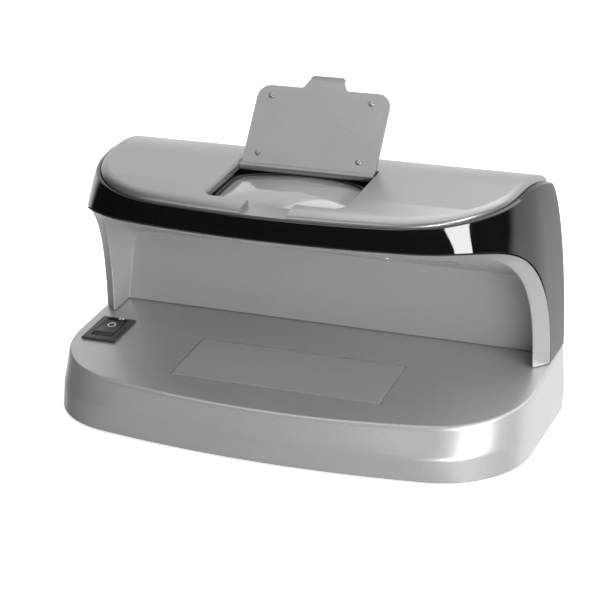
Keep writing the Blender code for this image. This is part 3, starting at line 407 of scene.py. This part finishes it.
FINISHES = {"silver_paint": SILVER, "grey_paint": GREY, "gloss_black": BLACK, "matt_black": MATT,
            "rubber": RUBBER, "steel": STEEL, "opal_acrylic": OPAL, "clear_acrylic": LENS, "violet_filter": VIOLET,
            "circuit_board": BOARD, "led_body": EPOXY, "capacitor_can": CAN, "wire_sheath": SHEATH,
            "tinned_brass": TINNED}


BODY_OF = {node: body for body, names in frame["record"]["behaviour"]["bodies"].items() for node in names}


def finish_of(node):
    for part in frame["record"]["subparts"]:
        if part["node"] == node:
            return part["material_slot"], FINISHES[part["material_slot"]]
    raise KeyError(node)


def add_piece(name, built, node, sharp=35.0, body=None):
    """Turn a bmesh into a shown piece that takes a CAD node's finish and rides with its body."""
    bmesh.ops.recalc_face_normals(built, faces=built.faces[:])
    mesh = bpy.data.meshes.new(name)
    built.to_mesh(mesh)
    built.free()
    mesh.shade_smooth()
    mesh.set_sharp_from_angle(angle=math.radians(sharp))
    made = bpy.data.objects.new(name, mesh)
    bpy.context.scene.collection.objects.link(made)
    slot, finish = finish_of(node)
    mesh.materials.append(finish)
    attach(made, body or BODY_OF[node])
    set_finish(made, slot)
    return made


# ---------------------------------------------------------------- mesh tools
def skin(rows, closed=True):
    """Quads between rows of points of equal length."""
    built = bmesh.new()
    grid = [[built.verts.new(point) for point in row] for row in rows]
    count = len(grid[0])
    for low, high in zip(grid, grid[1:]):
        for index in range(count if closed else count - 1):
            after = (index + 1) % count
            built.faces.new((low[index], low[after], high[after], high[index]))
    return built, grid


def ladder(built, row):
    """Fill a D-shaped row of vertices with strips that cross from side to side."""
    count = len(row)
    for index in range(count // 2 - 1):
        built.faces.new((row[index], row[index + 1], row[count - 2 - index], row[count - 1 - index]))
    middle = count // 2
    built.faces.new((row[middle - 1], row[middle], row[middle + 1]))


def carve(piece, *cutters, tangled=False):
    """Cut shapes out of a piece for good; a tangled piece has faces that run through each other."""
    holders = []
    for built, matrix in cutters:
        bmesh.ops.recalc_face_normals(built, faces=built.faces[:])
        mesh = bpy.data.meshes.new("cutter")
        built.to_mesh(mesh)
        built.free()
        holder = bpy.data.objects.new("cutter", mesh)
        holder.matrix_world = matrix
        bpy.context.scene.collection.objects.link(holder)
        holders.append(holder)
        boolean = piece.modifiers.new("cut", "BOOLEAN")
        boolean.operation = "DIFFERENCE"
        boolean.solver = "EXACT"
        boolean.use_self = tangled
        boolean.object = holder
    bpy.context.view_layer.update()
    graph = bpy.context.evaluated_depsgraph_get()
    done = bpy.data.meshes.new_from_object(piece.evaluated_get(graph))
    piece.modifiers.clear()
    piece.data = done
    for holder in holders:
        bpy.data.objects.remove(holder)


def block(half_x, half_y, low, high):
    built = bmesh.new()
    bmesh.ops.create_cube(built, size=1.0)
    for vertex in built.verts:
        vertex.co = Vector((vertex.co.x * 2 * half_x, vertex.co.y * 2 * half_y,
                            low if vertex.co.z < 0 else high))
    return built


def at(x, y, z, tilt=0.0):
    """A place, with its local frame tilted about X."""
    return Matrix.Translation((x, y, z)) @ Matrix.Rotation(tilt, 4, "X")


PLATEN_TILT = math.atan(PLATEN_SLOPE)
COVER_TILT = math.atan(COVER_SLOPE)
CEILING_TILT = -math.atan(CEILING_SLOPE)
LENS_FRAME = at(0.0, LENS_Y, cover_top_z(LENS_Y), COVER_TILT)
WINDOW_MID_Y = (WINDOW_FRONT_Y + WINDOW_BACK_Y) / 2
WINDOW_FRAME = at(0.0, WINDOW_MID_Y, cover_top_z(WINDOW_MID_Y), COVER_TILT)


def ceiling_frame(side):
    return at(side * UV_X, UV_Y, ceiling_z(UV_Y), CEILING_TILT)


# ---------------------------------------------------------------- softened shells
def softened(node, edge=0.0002, crease=32.0, segments=2, sharp=40.0):
    """The CAD node with whole faces, rounded edges and smooth shading."""
    built = bmesh.new()
    built.from_mesh(nodes[node].data)
    bmesh.ops.remove_doubles(built, verts=built.verts[:], dist=1e-6)
    bmesh.ops.dissolve_limit(built, angle_limit=math.radians(0.03), verts=built.verts[:],
                             edges=built.edges[:])
    bmesh.ops.join_triangles(built, faces=built.faces[:], angle_face_threshold=math.radians(12),
                             angle_shape_threshold=math.radians(60))
    if edge:
        corners = [edge_ for edge_ in built.edges
                   if len(edge_.link_faces) == 2 and edge_.calc_face_angle(0.0) > math.radians(crease)]
        bmesh.ops.bevel(built, geom=corners, offset=edge, offset_type="OFFSET", segments=segments,
                        profile=0.5, affect="EDGES", clamp_overlap=True)
    piece = add_piece(node + "_finished", built, node, sharp)
    normals = piece.modifiers.new("weighted", "WEIGHTED_NORMAL")
    normals.keep_sharp = True
    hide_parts(node)
    return piece


def soften_all():
    for node in nodes:
        if node not in CUSTOM:
            softened(node)


# ---------------------------------------------------------------- base
def build_base():
    """The silver base: skirt, soft crease, leaning apron, rounded rim, sloping platen with its openings."""
    bearings = outline_bearings(PLATEN, 10, 28, 44)
    inner_back = BACK_Y - BASE_WALL
    rows = [ring(inset(PLATEN, BASE_WALL), bearings, lambda y: platen_z(y) - PLATEN_THICKNESS, inner_back),
            ring(inset(CREASE, BASE_WALL), bearings, lambda y: CREASE_Z, inner_back),
            ring(inset(SKIRT, BASE_WALL), bearings, lambda y: SKIRT_Z, inner_back),
            ring(inset(SKIRT, 0.0003), bearings, lambda y: SKIRT_Z, BACK_Y - 0.0003)]
    low = ring(SKIRT, bearings, lambda y: SKIRT_Z + 0.0003)
    middle = ring(CREASE, bearings, lambda y: CREASE_Z)
    high = ring(PLATEN, bearings, lambda y: platen_z(y) - PLATEN_RIM_RADIUS)
    rows.append(low)
    for part in (0.25, 0.5, 0.75, 0.9):
        rows.append([a.lerp(b, part) for a, b in zip(low, middle)])
    soft = CREASE_RADIUS
    before = [b + (a - b).normalized() * soft for a, b in zip(low, middle)]
    after = [b + (c - b).normalized() * soft for b, c in zip(middle, high)]
    for part in (0.0, 0.25, 0.5, 0.75, 1.0):
        rows.append([a.lerp(b, part).lerp(b.lerp(c, part), part) for a, b, c in zip(before, middle, after)])
    for part in (0.3, 0.6, 0.8, 0.92, 1.0):
        rows.append([a.lerp(b, part) for a, b in zip(after, high)])
    for step in range(1, 7):
        angle = math.pi / 2 * step / 6
        inward = PLATEN_RIM_RADIUS * (1 - math.cos(angle))
        rise = PLATEN_RIM_RADIUS * math.sin(angle)
        rows.append(ring(inset(PLATEN, inward), bearings,
                         lambda y, up=rise: platen_z(y) - PLATEN_RIM_RADIUS + up, BACK_Y - inward))
    built, grid = skin(rows)
    ladder(built, grid[0])
    ladder(built, grid[-1])
    base = add_piece("base_finished", built, "base_shell", 30.0)
    low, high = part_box("switch_housing")
    jack_low, jack_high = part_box("dc_jack")
    socket = bmesh.new()
    bmesh.ops.create_cone(socket, cap_ends=True, segments=48, radius1=JACK_RADIUS, radius2=JACK_RADIUS,
                          depth=JACK_DEPTH)
    jack_place = Matrix.Translation(((jack_low.x + jack_high.x) / 2, BACK_Y, JACK_Z)) @ Matrix.Rotation(
        math.pi / 2, 4, "X")
    carve(base,
          (block(SWITCH_HOLE_HALF_WIDTH, SWITCH_HOLE_HALF_LENGTH, -HOLE_DEPTH, HOLE_HEADROOM),
           at((low.x + high.x) / 2, SWITCH_Y, platen_z(SWITCH_Y), PLATEN_TILT)),
          (block(GLOW_HALF_WIDTH + GAP, GLOW_HALF_DEPTH + GAP, -HOLE_DEPTH, HOLE_HEADROOM),
           at(0.0, GLOW_Y, platen_z(GLOW_Y), PLATEN_TILT)),
          (socket, jack_place))
    base.data.set_sharp_from_angle(angle=math.radians(30.0))
    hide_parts("base_shell")


# ---------------------------------------------------------------- hood
def wrap_bottom(bearing):
    """Lower outer edge of the black wrap: on the base behind the arch, along the arch before it."""
    x, y = outline_point(WRAP_FOOT, bearing)
    if y >= OUTER_ARCH.foot_y:
        x, y = outline_point(COLUMN, bearing)
        return Vector((x, y, platen_z(y) + GAP))
    return Vector((x, y, arch_z(OUTER_ARCH, y)))


def lean_at(z, base_z, top_z, bulge):
    """How much of the way out the wall of the hood is at a height: 1 at its foot, 0 at its rim."""
    part = min(max((z - base_z) / (top_z - base_z), 0.0), 1.0)
    return (1.0 - part ** bulge) ** (1.0 / bulge)


def smooth_step(value, low, high):
    part = min(max((value - low) / (high - low), 0.0), 1.0)
    return part * part * (3 - 2 * part)


def wrap_column(bearing, levels):
    """Points up the outer wall, over the rounded rim and a little way down inside."""
    rim = inset(COVER, -RIM_WIDTH)
    bottom = wrap_bottom(bearing)
    top_x, top_y = outline_point(rim, bearing)
    top_z = cover_edge_z(top_y) - RIM_DROP
    turn = min(bearing, math.pi - bearing)
    bulge = WRAP_BULGE + (FRONT_BULGE - WRAP_BULGE) * smooth_step(turn, math.radians(12), math.radians(38))
    base_z = platen_z(bottom.y) + GAP
    whole = lean_at(bottom.z, base_z, top_z, bulge)
    column_x = outline_point(COLUMN, bearing)[0]
    side = smooth_step(bottom.y, 0.002, OUTER_ARCH.foot_y - 0.001)
    reach_x = (bottom.x - top_x) / whole * (1 - side) + (column_x - top_x) * side
    reach_y = (bottom.y - top_y) / whole
    foot_x = top_x + reach_x * whole
    inward = Vector((-math.cos(bearing), math.sin(bearing), 0.0))
    foot = Vector((foot_x, bottom.y, bottom.z))
    points = [foot + inward * WRAP_WALL + Vector((0.0, 0.0, 0.002)), foot + inward * WRAP_WALL,
              foot + inward * EDGE_SOFTNESS]
    for level in range(levels + 1):
        z = base_z + (top_z - 0.0005 - base_z) * math.sin(math.pi / 2 * level / levels)
        z = max(z, bottom.z + EDGE_SOFTNESS)
        lean = lean_at(z, base_z, top_z, bulge)
        points.append(Vector((top_x + reach_x * lean, top_y + reach_y * lean, z)))
    for step_in, drop in ((0.0002, 0.0002), (0.0005, 0.00004), (0.0008, 0.0), (0.0011, 0.0001),
                          (RIM_WIDTH - GAP, 0.0004), (RIM_WIDTH - GAP, 0.0018)):
        x, y = outline_point(inset(rim, step_in), bearing)
        points.append(Vector((x, y, top_z - drop)))
    return points


def hood_bearings():
    """Close together round the corners and at the feet of the arch, where the lower edge climbs."""
    turns = []
    foot_x = WRAP_FOOT.half_width + WRAP_FOOT.flare * OUTER_ARCH.foot_y
    foot = math.atan2(BACK_Y - OUTER_ARCH.foot_y, foot_x)
    for step in range(14):
        turns.append(foot * step / 14)
    steps = 40
    for step in range(steps):
        angle = math.pi / 2 * (1 - step / steps)
        y = OUTER_ARCH.front_y + (OUTER_ARCH.foot_y - OUTER_ARCH.front_y) * math.sin(angle) ** (
            2 / OUTER_ARCH.exponent)
        turns.append(math.atan2(BACK_Y - y, WRAP_FOOT.half_width + WRAP_FOOT.flare * y))
    rest = outline_bearings(WRAP_FOOT, 1, 40, 60)
    turns = [turn for turn in turns if turn < rest[8]]
    turns += [turn for turn in rest if turns[-1] + 0.004 < turn <= math.pi / 2 - 0.001]
    return turns + [math.pi / 2] + [math.pi - turn for turn in reversed(turns)]


def build_wrap():
    """The piano-black wrap: one smooth wall with a thin rounded rim."""
    columns = [wrap_column(bearing, 30) for bearing in hood_bearings()]
    for column in (columns[0], columns[-1]):
        for point in column:
            point.y = BACK_Y
    built = skin(columns, closed=False)[0]
    bmesh.ops.remove_doubles(built, verts=built.verts[:], dist=1e-7)
    bmesh.ops.dissolve_degenerate(built, edges=built.edges[:], dist=1e-7)
    wrap = add_piece("wrap_finished", built, "hood_wrap", 30.0)
    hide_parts("hood_wrap")


def arc(centre_x, centre_y, radius, start, end, steps):
    """Points of an arc, angles in degrees."""
    turns = [math.radians(start + (end - start) * step / steps) for step in range(steps + 1)]
    return [(centre_x + radius * math.cos(turn), centre_y + radius * math.sin(turn)) for turn in turns]


def prism(points, low, high):
    """Outline points (x, y) raised from one local height to another, with flat ends."""
    built, grid = skin([[Vector((x, y, z)) for x, y in points] for z in (low, high)])
    built.faces.new(grid[0])
    built.faces.new(grid[1])
    return built


def rounded_rectangle(half_x, half_y, radius, steps=6):
    """Points (x, y) of a rectangle with one radius at its corners."""
    points = []
    for turn, (side_x, side_y) in enumerate(((1, 1), (-1, 1), (-1, -1), (1, -1))):
        points += arc(side_x * (half_x - radius), side_y * (half_y - radius), radius, 90 * turn,
                      90 * turn + 90, steps)
    return points


def lens_outline(grow=0.0, bow_steps=8, corner_steps=4):
    """Straight sides, bowed front and back, rounded corners."""
    half_x = LENS_HALF_WIDTH + grow
    half_y = LENS_HALF_DEPTH + grow
    bow = LENS_BOW_RADIUS + grow
    corner = LENS_CORNER + grow
    bow_y = half_y - bow
    centre_x = half_x - corner
    centre_y = bow_y + math.sqrt((bow - corner) ** 2 - centre_x ** 2)
    tangent = math.degrees(math.atan2(centre_y - bow_y, centre_x))
    quarter = arc(centre_x, centre_y, corner, 0, tangent, corner_steps)
    quarter += arc(0.0, bow_y, bow, tangent, 90, bow_steps)[1:]
    back = quarter + [(-x, y) for x, y in reversed(quarter[:-1])]
    return back + [(-x, -y) for x, y in back]


# ---------------------------------------------------------------- bay
def liner_strip(bearing):
    """Edge of the liner just under the wrap, and the hidden edge behind the wall of the wrap."""
    step = GAP + 0.0001
    x, y = outline_point(WRAP_FOOT, bearing)
    if y > OUTER_ARCH.foot_y - 0.004:
        edge = Vector((x, y - step * 1.4, arch_z(OUTER_ARCH, y)))
    else:
        edge = Vector((x, y - step, arch_z(OUTER_ARCH, y) - step))
    edge.z = max(edge.z, platen_z(edge.y) + GAP)
    hidden = edge + Vector((-math.cos(bearing), math.sin(bearing), 0.0)) * (WRAP_WALL + GAP)
    return edge, hidden


def bay_edge(turn, foot):
    """Inner edge of the strip, at the same share of the way round as a bearing of the wrap."""
    lip_foot = math.atan2(BACK_Y - INNER_ARCH.foot_y, LIP.half_width + LIP.flare * INNER_ARCH.foot_y)
    x, y = outline_point(LIP, lip_foot + (math.pi / 2 - lip_foot) * (turn - foot) / (math.pi / 2 - foot))
    return Vector((x, y, max(arch_z(INNER_ARCH, y), platen_z(y) + GAP)))


def bay_creases(edges):
    """Edge of the back wall opposite each point: up the side, round the corner, along the ceiling."""
    floor = Vector((FLOOR_HALF_WIDTH, FLOOR_BACK_Y, platen_z(FLOOR_BACK_Y) + GAP))
    top = Vector((CEILING_HALF_WIDTH, CEILING_BACK_Y, CEILING_BACK_Z))
    climb = (top - floor).normalized()
    side_top = top - climb * BAY_CORNER_RADIUS
    shoulder = next(index for index, edge in enumerate(edges) if edge.z > SHOULDER_Z)
    corner_end = shoulder + 12
    lengths = [(edges[index + 1] - edges[index]).length for index in range(len(edges) - 1)]
    creases = []
    for index, edge in enumerate(edges):
        if index <= shoulder:
            part = (edge.z - edges[0].z) / (edges[shoulder].z - edges[0].z)
            creases.append(floor.lerp(side_top, part))
        elif index <= corner_end:
            angle = math.pi / 2 * (index - shoulder) / (corner_end - shoulder)
            round_off = Vector((-1, 0, 0)) * (1 - math.cos(angle)) + climb * math.sin(angle)
            creases.append(side_top + round_off * BAY_CORNER_RADIUS)
        else:
            part = sum(lengths[index:]) / sum(lengths[corner_end:])
            creases.append(Vector((creases[corner_end].x * part, CEILING_BACK_Y, creases[corner_end].z)))
    return creases, shoulder, corner_end


def build_liner():
    """The silver scoop: strip round the opening with a rolled inner edge, side walls, ceiling, back wall."""
    foot_x = WRAP_FOOT.half_width + WRAP_FOOT.flare * OUTER_ARCH.foot_y
    foot = math.atan2(BACK_Y - OUTER_ARCH.foot_y, foot_x)
    turns = [turn for turn in hood_bearings() if foot * 0.999 < turn < math.pi / 2 + 0.001]
    edges = [bay_edge(turn, foot) for turn in turns]
    creases, shoulder, corner_end = bay_creases(edges)
    climb = (creases[corner_end] - creases[0]).normalized()
    climb = Vector((0.0, climb.y, climb.z)).normalized()
    rows = []
    for index, turn in enumerate(turns):
        strip, hidden = liner_strip(turn)
        edge = edges[index]
        crease = creases[index]
        angle = math.pi / 2 * min(max((index - shoulder) / (corner_end - shoulder), 0.0), 1.0)
        behind = crease + Vector((math.cos(angle), 1.0, math.sin(angle))) * LINER_WALL
        before = edge + (strip - edge).normalized() * min(STRIP_ROUND, (strip - edge).length * 0.6)
        after = edge + (crease - edge).normalized() * STRIP_ROUND
        rolled = [before.lerp(edge, part).lerp(edge.lerp(after, part), part) for part in
                  (0.0, 0.14, 0.28, 0.42, 0.56, 0.70, 0.85, 1.0)]
        outer = crease + (after - crease).normalized() * BAY_FILLET
        inner = crease - (Vector((math.cos(angle), 0.0, 0.0)) + climb * math.sin(angle)) * BAY_FILLET
        near = [after.lerp(outer, part) for part in (0.35, 0.7)]
        corner = [outer.lerp(crease, part).lerp(crease.lerp(inner, part), part) for part in
                  (0.0, 0.33, 0.67, 1.0)]
        rows.append([behind, hidden, strip] + rolled + near + corner)
    rows += [[Vector((-point.x, point.y, point.z)) for point in row] for row in reversed(rows[:-1])]
    built, grid = skin(rows, closed=False)
    built.faces.new([row[-1] for row in grid])
    built.faces.new([row[0] for row in grid])
    built.faces.new(grid[0])
    built.faces.new(grid[-1])
    built.faces.new((grid[0][-1], grid[0][0], grid[-1][0], grid[-1][-1]))
    liner = add_piece("liner_finished", built, "bay_liner", 30.0)
    window = rounded_rectangle(UV_HALF_WIDTH, UV_HALF_DEPTH, 0.002)
    carve(liner, (prism(lens_outline(-0.0012), -0.045, -0.008), LENS_FRAME),
          (prism(window, -0.004, 0.008), ceiling_frame(-1)), (prism(window, -0.004, 0.008), ceiling_frame(1)))
    liner.data.set_sharp_from_angle(angle=math.radians(30.0))
    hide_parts("bay_liner")


# ---------------------------------------------------------------- cover
def rectangle(half_x, half_y):
    return [(half_x, half_y), (-half_x, half_y), (-half_x, -half_y), (half_x, -half_y)]


def window_outline(half_x, half_y, front_radius, back_radius):
    """A rectangle with different corners at its front and back."""
    points = arc(half_x - back_radius, half_y - back_radius, back_radius, 0, 90, 3)
    points += arc(back_radius - half_x, half_y - back_radius, back_radius, 90, 180, 3)
    points += arc(front_radius - half_x, front_radius - half_y, front_radius, 180, 270, 5)
    return points + arc(half_x - front_radius, front_radius - half_y, front_radius, 270, 360, 5)


def build_cover():
    """The sloping cover: bead with a crisp inner crease, chamfered window, thumb notch."""
    bearings = outline_bearings(COVER, 10, 28, 44)
    rise = COVER_TOP_BACK_Z - COVER_EDGE_BACK_Z
    rows = [ring(inset(BEAD, 0.0008), bearings, lambda y: cover_top_z(y) - COVER_THICKNESS, BACK_Y - 0.0028),
            ring(inset(COVER, 0.0020), bearings, lambda y: cover_edge_z(y) - COVER_LIP_DEPTH,
                 BACK_Y - 0.0020),
            ring(COVER, bearings, lambda y: cover_edge_z(y) - COVER_LIP_DEPTH)]
    full = math.radians(BEAD_TURN)
    for step in range(13):
        part = full * step / 12
        share = (1 - math.cos(part)) / (1 - math.cos(full))
        lift = rise * math.sin(part) / math.sin(full)
        outline = Outline(*[edge + (top - edge) * share for edge, top in zip(COVER, BEAD)])
        rows.append(ring(outline, bearings, lambda y, up=lift: cover_edge_z(y) + up))
    built, grid = skin(rows)
    ladder(built, grid[0])
    ladder(built, grid[-1])
    cover = add_piece("cover_finished", built, "top_cover", 11.0)
    half_depth = (WINDOW_BACK_Y - WINDOW_FRONT_Y) / 2
    hole = window_outline(WINDOW_HALF_WIDTH, half_depth, WINDOW_CORNER, 0.0006)
    wide_hole = window_outline(WINDOW_HALF_WIDTH + WINDOW_CHAMFER, half_depth, WINDOW_CORNER, 0.0006)
    window, grid = skin([[Vector((x, y, z)) for x, y in outline] for outline, z in
                         ((hole, -0.012), (hole, -WINDOW_CHAMFER), (wide_hole, 0.00001), (wide_hole, 0.004))])
    window.faces.new(grid[0])
    window.faces.new(grid[-1])
    carve(cover, (window, WINDOW_FRAME),
          (prism(rectangle(NOTCH_HALF_WIDTH, 0.006), -NOTCH_DEPTH, 0.004),
           at(0, WINDOW_FRONT_Y - 0.0035, cover_top_z(WINDOW_FRONT_Y - 0.0035), COVER_TILT)), tangled=True)
    cover.data.set_sharp_from_angle(angle=math.radians(11.0))
    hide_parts("top_cover")


# ---------------------------------------------------------------- magnifier
def build_lens():
    """A smooth moulded lens: domed top, slightly domed underside, rounded rim."""
    outline = lens_outline(0.0, 30, 12)
    bottom = -LENS_RIM_DEPTH - LENS_EDGE
    shares = [math.sin(math.pi / 2 * step / 18) for step in range(1, 19)]
    rows = []
    for scale in shares:
        height = bottom - 0.6 * LENS_DOME * (1 - scale ** 2)
        rows.append([LENS_FRAME @ Vector((x * scale, y * scale, height)) for x, y in outline])
    for scale in reversed(shares):
        height = -LENS_RIM_DEPTH + LENS_DOME * (1 - scale ** 2)
        rows.append([LENS_FRAME @ Vector((x * scale, y * scale, height)) for x, y in outline])
    built, grid = skin(rows)
    built.faces.new(grid[0])
    built.faces.new(grid[-1])
    lens = add_piece("lens_finished", built, "magnifier_lens", 40.0)
    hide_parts("magnifier_lens")


# ---------------------------------------------------------------- window of the platen
def build_platen_window():
    """The flat plate of the back light, flush with the platen, with a fine rounded edge."""
    place = at(0.0, GLOW_Y, platen_z(GLOW_Y), PLATEN_TILT)
    rows = []
    for step in range(5):
        turn = math.radians(90 * step / 4)
        shrink = EDGE_SOFTNESS * (1 - math.cos(turn))
        height = EDGE_SOFTNESS * (math.sin(turn) - 1)
        rows.append([place @ Vector((x, y, height)) for x, y in
                     rounded_rectangle(GLOW_HALF_WIDTH - shrink, GLOW_HALF_DEPTH - shrink, 0.0006)])
    under = [place @ Vector((x, y, -GLOW_THICKNESS)) for x, y in
             rounded_rectangle(GLOW_HALF_WIDTH, GLOW_HALF_DEPTH, 0.0006)]
    built, grid = skin([under] + rows)
    built.faces.new(grid[0])
    built.faces.new(grid[-1])
    window = add_piece("platen_window_finished", built, "platen_window", 30.0)
    normals = window.modifiers.new("weighted", "WEIGHTED_NORMAL")
    normals.keep_sharp = True
    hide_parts("platen_window")


# ---------------------------------------------------------------- switch marks
def print_on(piece):
    """White print keeps its own colour, whatever the part below it is painted."""
    piece.data.materials[0] = PRINT
    del piece["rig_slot"]


def build_switch_marks():
    """A printed ring on the rocker and two printed bars on the bezel behind it."""
    place = at(SWITCH_X, SWITCH_Y, platen_z(SWITCH_Y), PLATEN_TILT)
    dish = (ROCKER_RIDGE ** 2 + ROCKER_SAG ** 2) / (2 * ROCKER_SAG)
    rows = []
    for radius, lift in ((MARK_OUTER, -INK), (MARK_OUTER, INK), (MARK_INNER, INK), (MARK_INNER, -INK)):
        row = []
        for step in range(40):
            turn = 2 * math.pi * step / 40
            y = MARK_Y + radius * math.sin(turn)
            height = ROCKER_RISE - ROCKER_SAG + dish - math.sqrt(dish ** 2 - y ** 2) + lift
            row.append(place @ Vector((radius * math.cos(turn), y + ROCKER_SHIFT, height)))
        rows.append(row)
    print_on(add_piece("switch_mark_ring", skin(rows)[0], "switch_rocker", 30.0))
    bars = bmesh.new()
    for x in BAR_PLACES:
        corners = [(x - BAR_HALF_WIDTH, -BAR_HALF_LENGTH), (x + BAR_HALF_WIDTH, -BAR_HALF_LENGTH),
                   (x + BAR_HALF_WIDTH, BAR_HALF_LENGTH), (x - BAR_HALF_WIDTH, BAR_HALF_LENGTH)]
        low = [bars.verts.new(place @ Vector((at_x, BAR_Y + y, BEZEL_HEIGHT - INK))) for at_x, y in corners]
        top = [bars.verts.new(place @ Vector((at_x, BAR_Y + y, BEZEL_HEIGHT + INK))) for at_x, y in corners]
        bars.faces.new(top)
        bars.faces.new(low)
        for index in range(4):
            bars.faces.new((low[index], low[index - 3], top[index - 3], top[index]))
    print_on(add_piece("switch_mark_bars", bars, "switch_housing", 30.0))


CUSTOM = {"base_shell": build_base, "hood_wrap": build_wrap, "bay_liner": build_liner,
          "magnifier_lens": build_lens, "top_cover": build_cover,
          "platen_window": build_platen_window}


# ---------------------------------------------------------------- studio
def area_light(name, azimuth, elevation, distance, width, height, power, roll=0.0, in_gloss=True):
    """A soft box that faces the object; azimuth 0 is in front of it, 90 at its right."""
    turn = math.radians(azimuth)
    lift = math.radians(elevation)
    away = Vector((math.sin(turn) * math.cos(lift), -math.cos(turn) * math.cos(lift), math.sin(lift)))
    lamp = bpy.data.lights.new(name, "AREA")
    lamp.shape = "RECTANGLE"
    lamp.size = width
    lamp.size_y = height
    lamp.energy = power
    holder = bpy.data.objects.new(name, lamp)
    bpy.context.scene.collection.objects.link(holder)
    holder.location = Vector((0.0, 0.0, 0.05)) + away * distance
    turned = away.to_track_quat("Z", "Y").to_matrix() @ Matrix.Rotation(math.radians(roll), 3, "Z")
    holder.rotation_euler = turned.to_euler()
    holder.visible_glossy = in_gloss
    return holder


# strength of the room by the Y part of a direction: dark in front, pale behind
ROOM_DARK_UP_TO = 0.38
ROOM_PALE_FROM = 0.60
ROOM_DARK = 0.02
ROOM_PALE = 1.15


def build_world():
    """A pale room, darker in front of the object, as the gloss shows it."""
    world = bpy.data.worlds.new("studio")
    bpy.context.scene.world = world
    world.use_nodes = True
    tree = world.node_tree
    background = tree.nodes["Background"]
    place = tree.nodes.new("ShaderNodeTexCoord")
    split = tree.nodes.new("ShaderNodeSeparateXYZ")
    tree.links.new(place.outputs["Generated"], split.inputs["Vector"])
    behind = tree.nodes.new("ShaderNodeMapRange")
    behind.interpolation_type = "SMOOTHSTEP"
    behind.inputs["From Min"].default_value = ROOM_DARK_UP_TO
    behind.inputs["From Max"].default_value = ROOM_PALE_FROM
    behind.inputs["To Min"].default_value = ROOM_DARK
    behind.inputs["To Max"].default_value = ROOM_PALE
    tree.links.new(split.outputs["Y"], behind.inputs["Value"])
    tree.links.new(behind.outputs["Result"], background.inputs["Strength"])
    background.inputs["Color"].default_value = (1.0, 1.0, 1.0, 1.0)


def build_floor():
    """A plain pale floor that the gloss does not show."""
    built = bmesh.new()
    bmesh.ops.create_grid(built, x_segments=1, y_segments=1, size=3.0)
    mesh = bpy.data.meshes.new("floor")
    built.to_mesh(mesh)
    built.free()
    floor = bpy.data.objects.new("floor", mesh)
    bpy.context.scene.collection.objects.link(floor)
    mesh.materials.append(surface("floor_paper", (0.9, 0.9, 0.9), 0.9, mottle=0.005, grain_depth=0.0,
                                  Emission_Color=(1.0, 1.0, 1.0, 1.0), Emission_Strength=0.62))
    floor.visible_glossy = False


CAMERA_AZIMUTH = math.radians(22.229)
CAMERA_ELEVATION = math.radians(20.746)
CAMERA_ROLL = math.radians(-0.842)
CAMERA_DISTANCE = 0.706487
CAMERA_SIDE = 0.006584
CAMERA_RISE = 0.045391
CAMERA_LENS = 109.146


def build_camera():
    """A long lens that looks down at the front from its right-hand side."""
    back = Vector((math.sin(CAMERA_AZIMUTH) * math.cos(CAMERA_ELEVATION),
                   -math.cos(CAMERA_AZIMUTH) * math.cos(CAMERA_ELEVATION), math.sin(CAMERA_ELEVATION)))
    level = Vector((math.cos(CAMERA_AZIMUTH), math.sin(CAMERA_AZIMUTH), 0.0))
    upright = back.cross(level)
    right = level * math.cos(CAMERA_ROLL) + upright * math.sin(CAMERA_ROLL)
    up = upright * math.cos(CAMERA_ROLL) - level * math.sin(CAMERA_ROLL)
    place = back * CAMERA_DISTANCE + right * CAMERA_SIDE + up * CAMERA_RISE + Vector((0.0, -0.0072, 0.0015))
    lens = bpy.data.cameras.new("camera")
    lens.lens = CAMERA_LENS
    lens.sensor_width = 36.0
    lens.clip_start = 0.01
    camera = bpy.data.objects.new("camera", lens)
    bpy.context.scene.collection.objects.link(camera)
    turn = Matrix((right, up, back)).transposed()
    camera.matrix_world = Matrix.Translation(place) @ turn.to_4x4()
    bpy.context.scene.camera = camera


soften_all()
for build in CUSTOM.values():
    build()
build_switch_marks()
build_world()
build_floor()
area_light("key_strip", 58.0, 12.3, 0.9, 0.160, 0.9, 9.5, roll=-50.0)
area_light("bay_fill", 36.0, 12.0, 1.3, 1.0, 0.5, 14.0, in_gloss=False)
area_light("right_bank", 88.0, 8.0, 1.3, 1.1, 0.9, 3.0, in_gloss=False)
area_light("overhead", 160.0, 66.0, 1.4, 1.6, 1.4, 13.0)
area_light("front_top", -32.0, 58.0, 1.4, 1.0, 0.7, 3.6)
build_camera()
bpy.context.scene.view_settings.view_transform = "Standard"
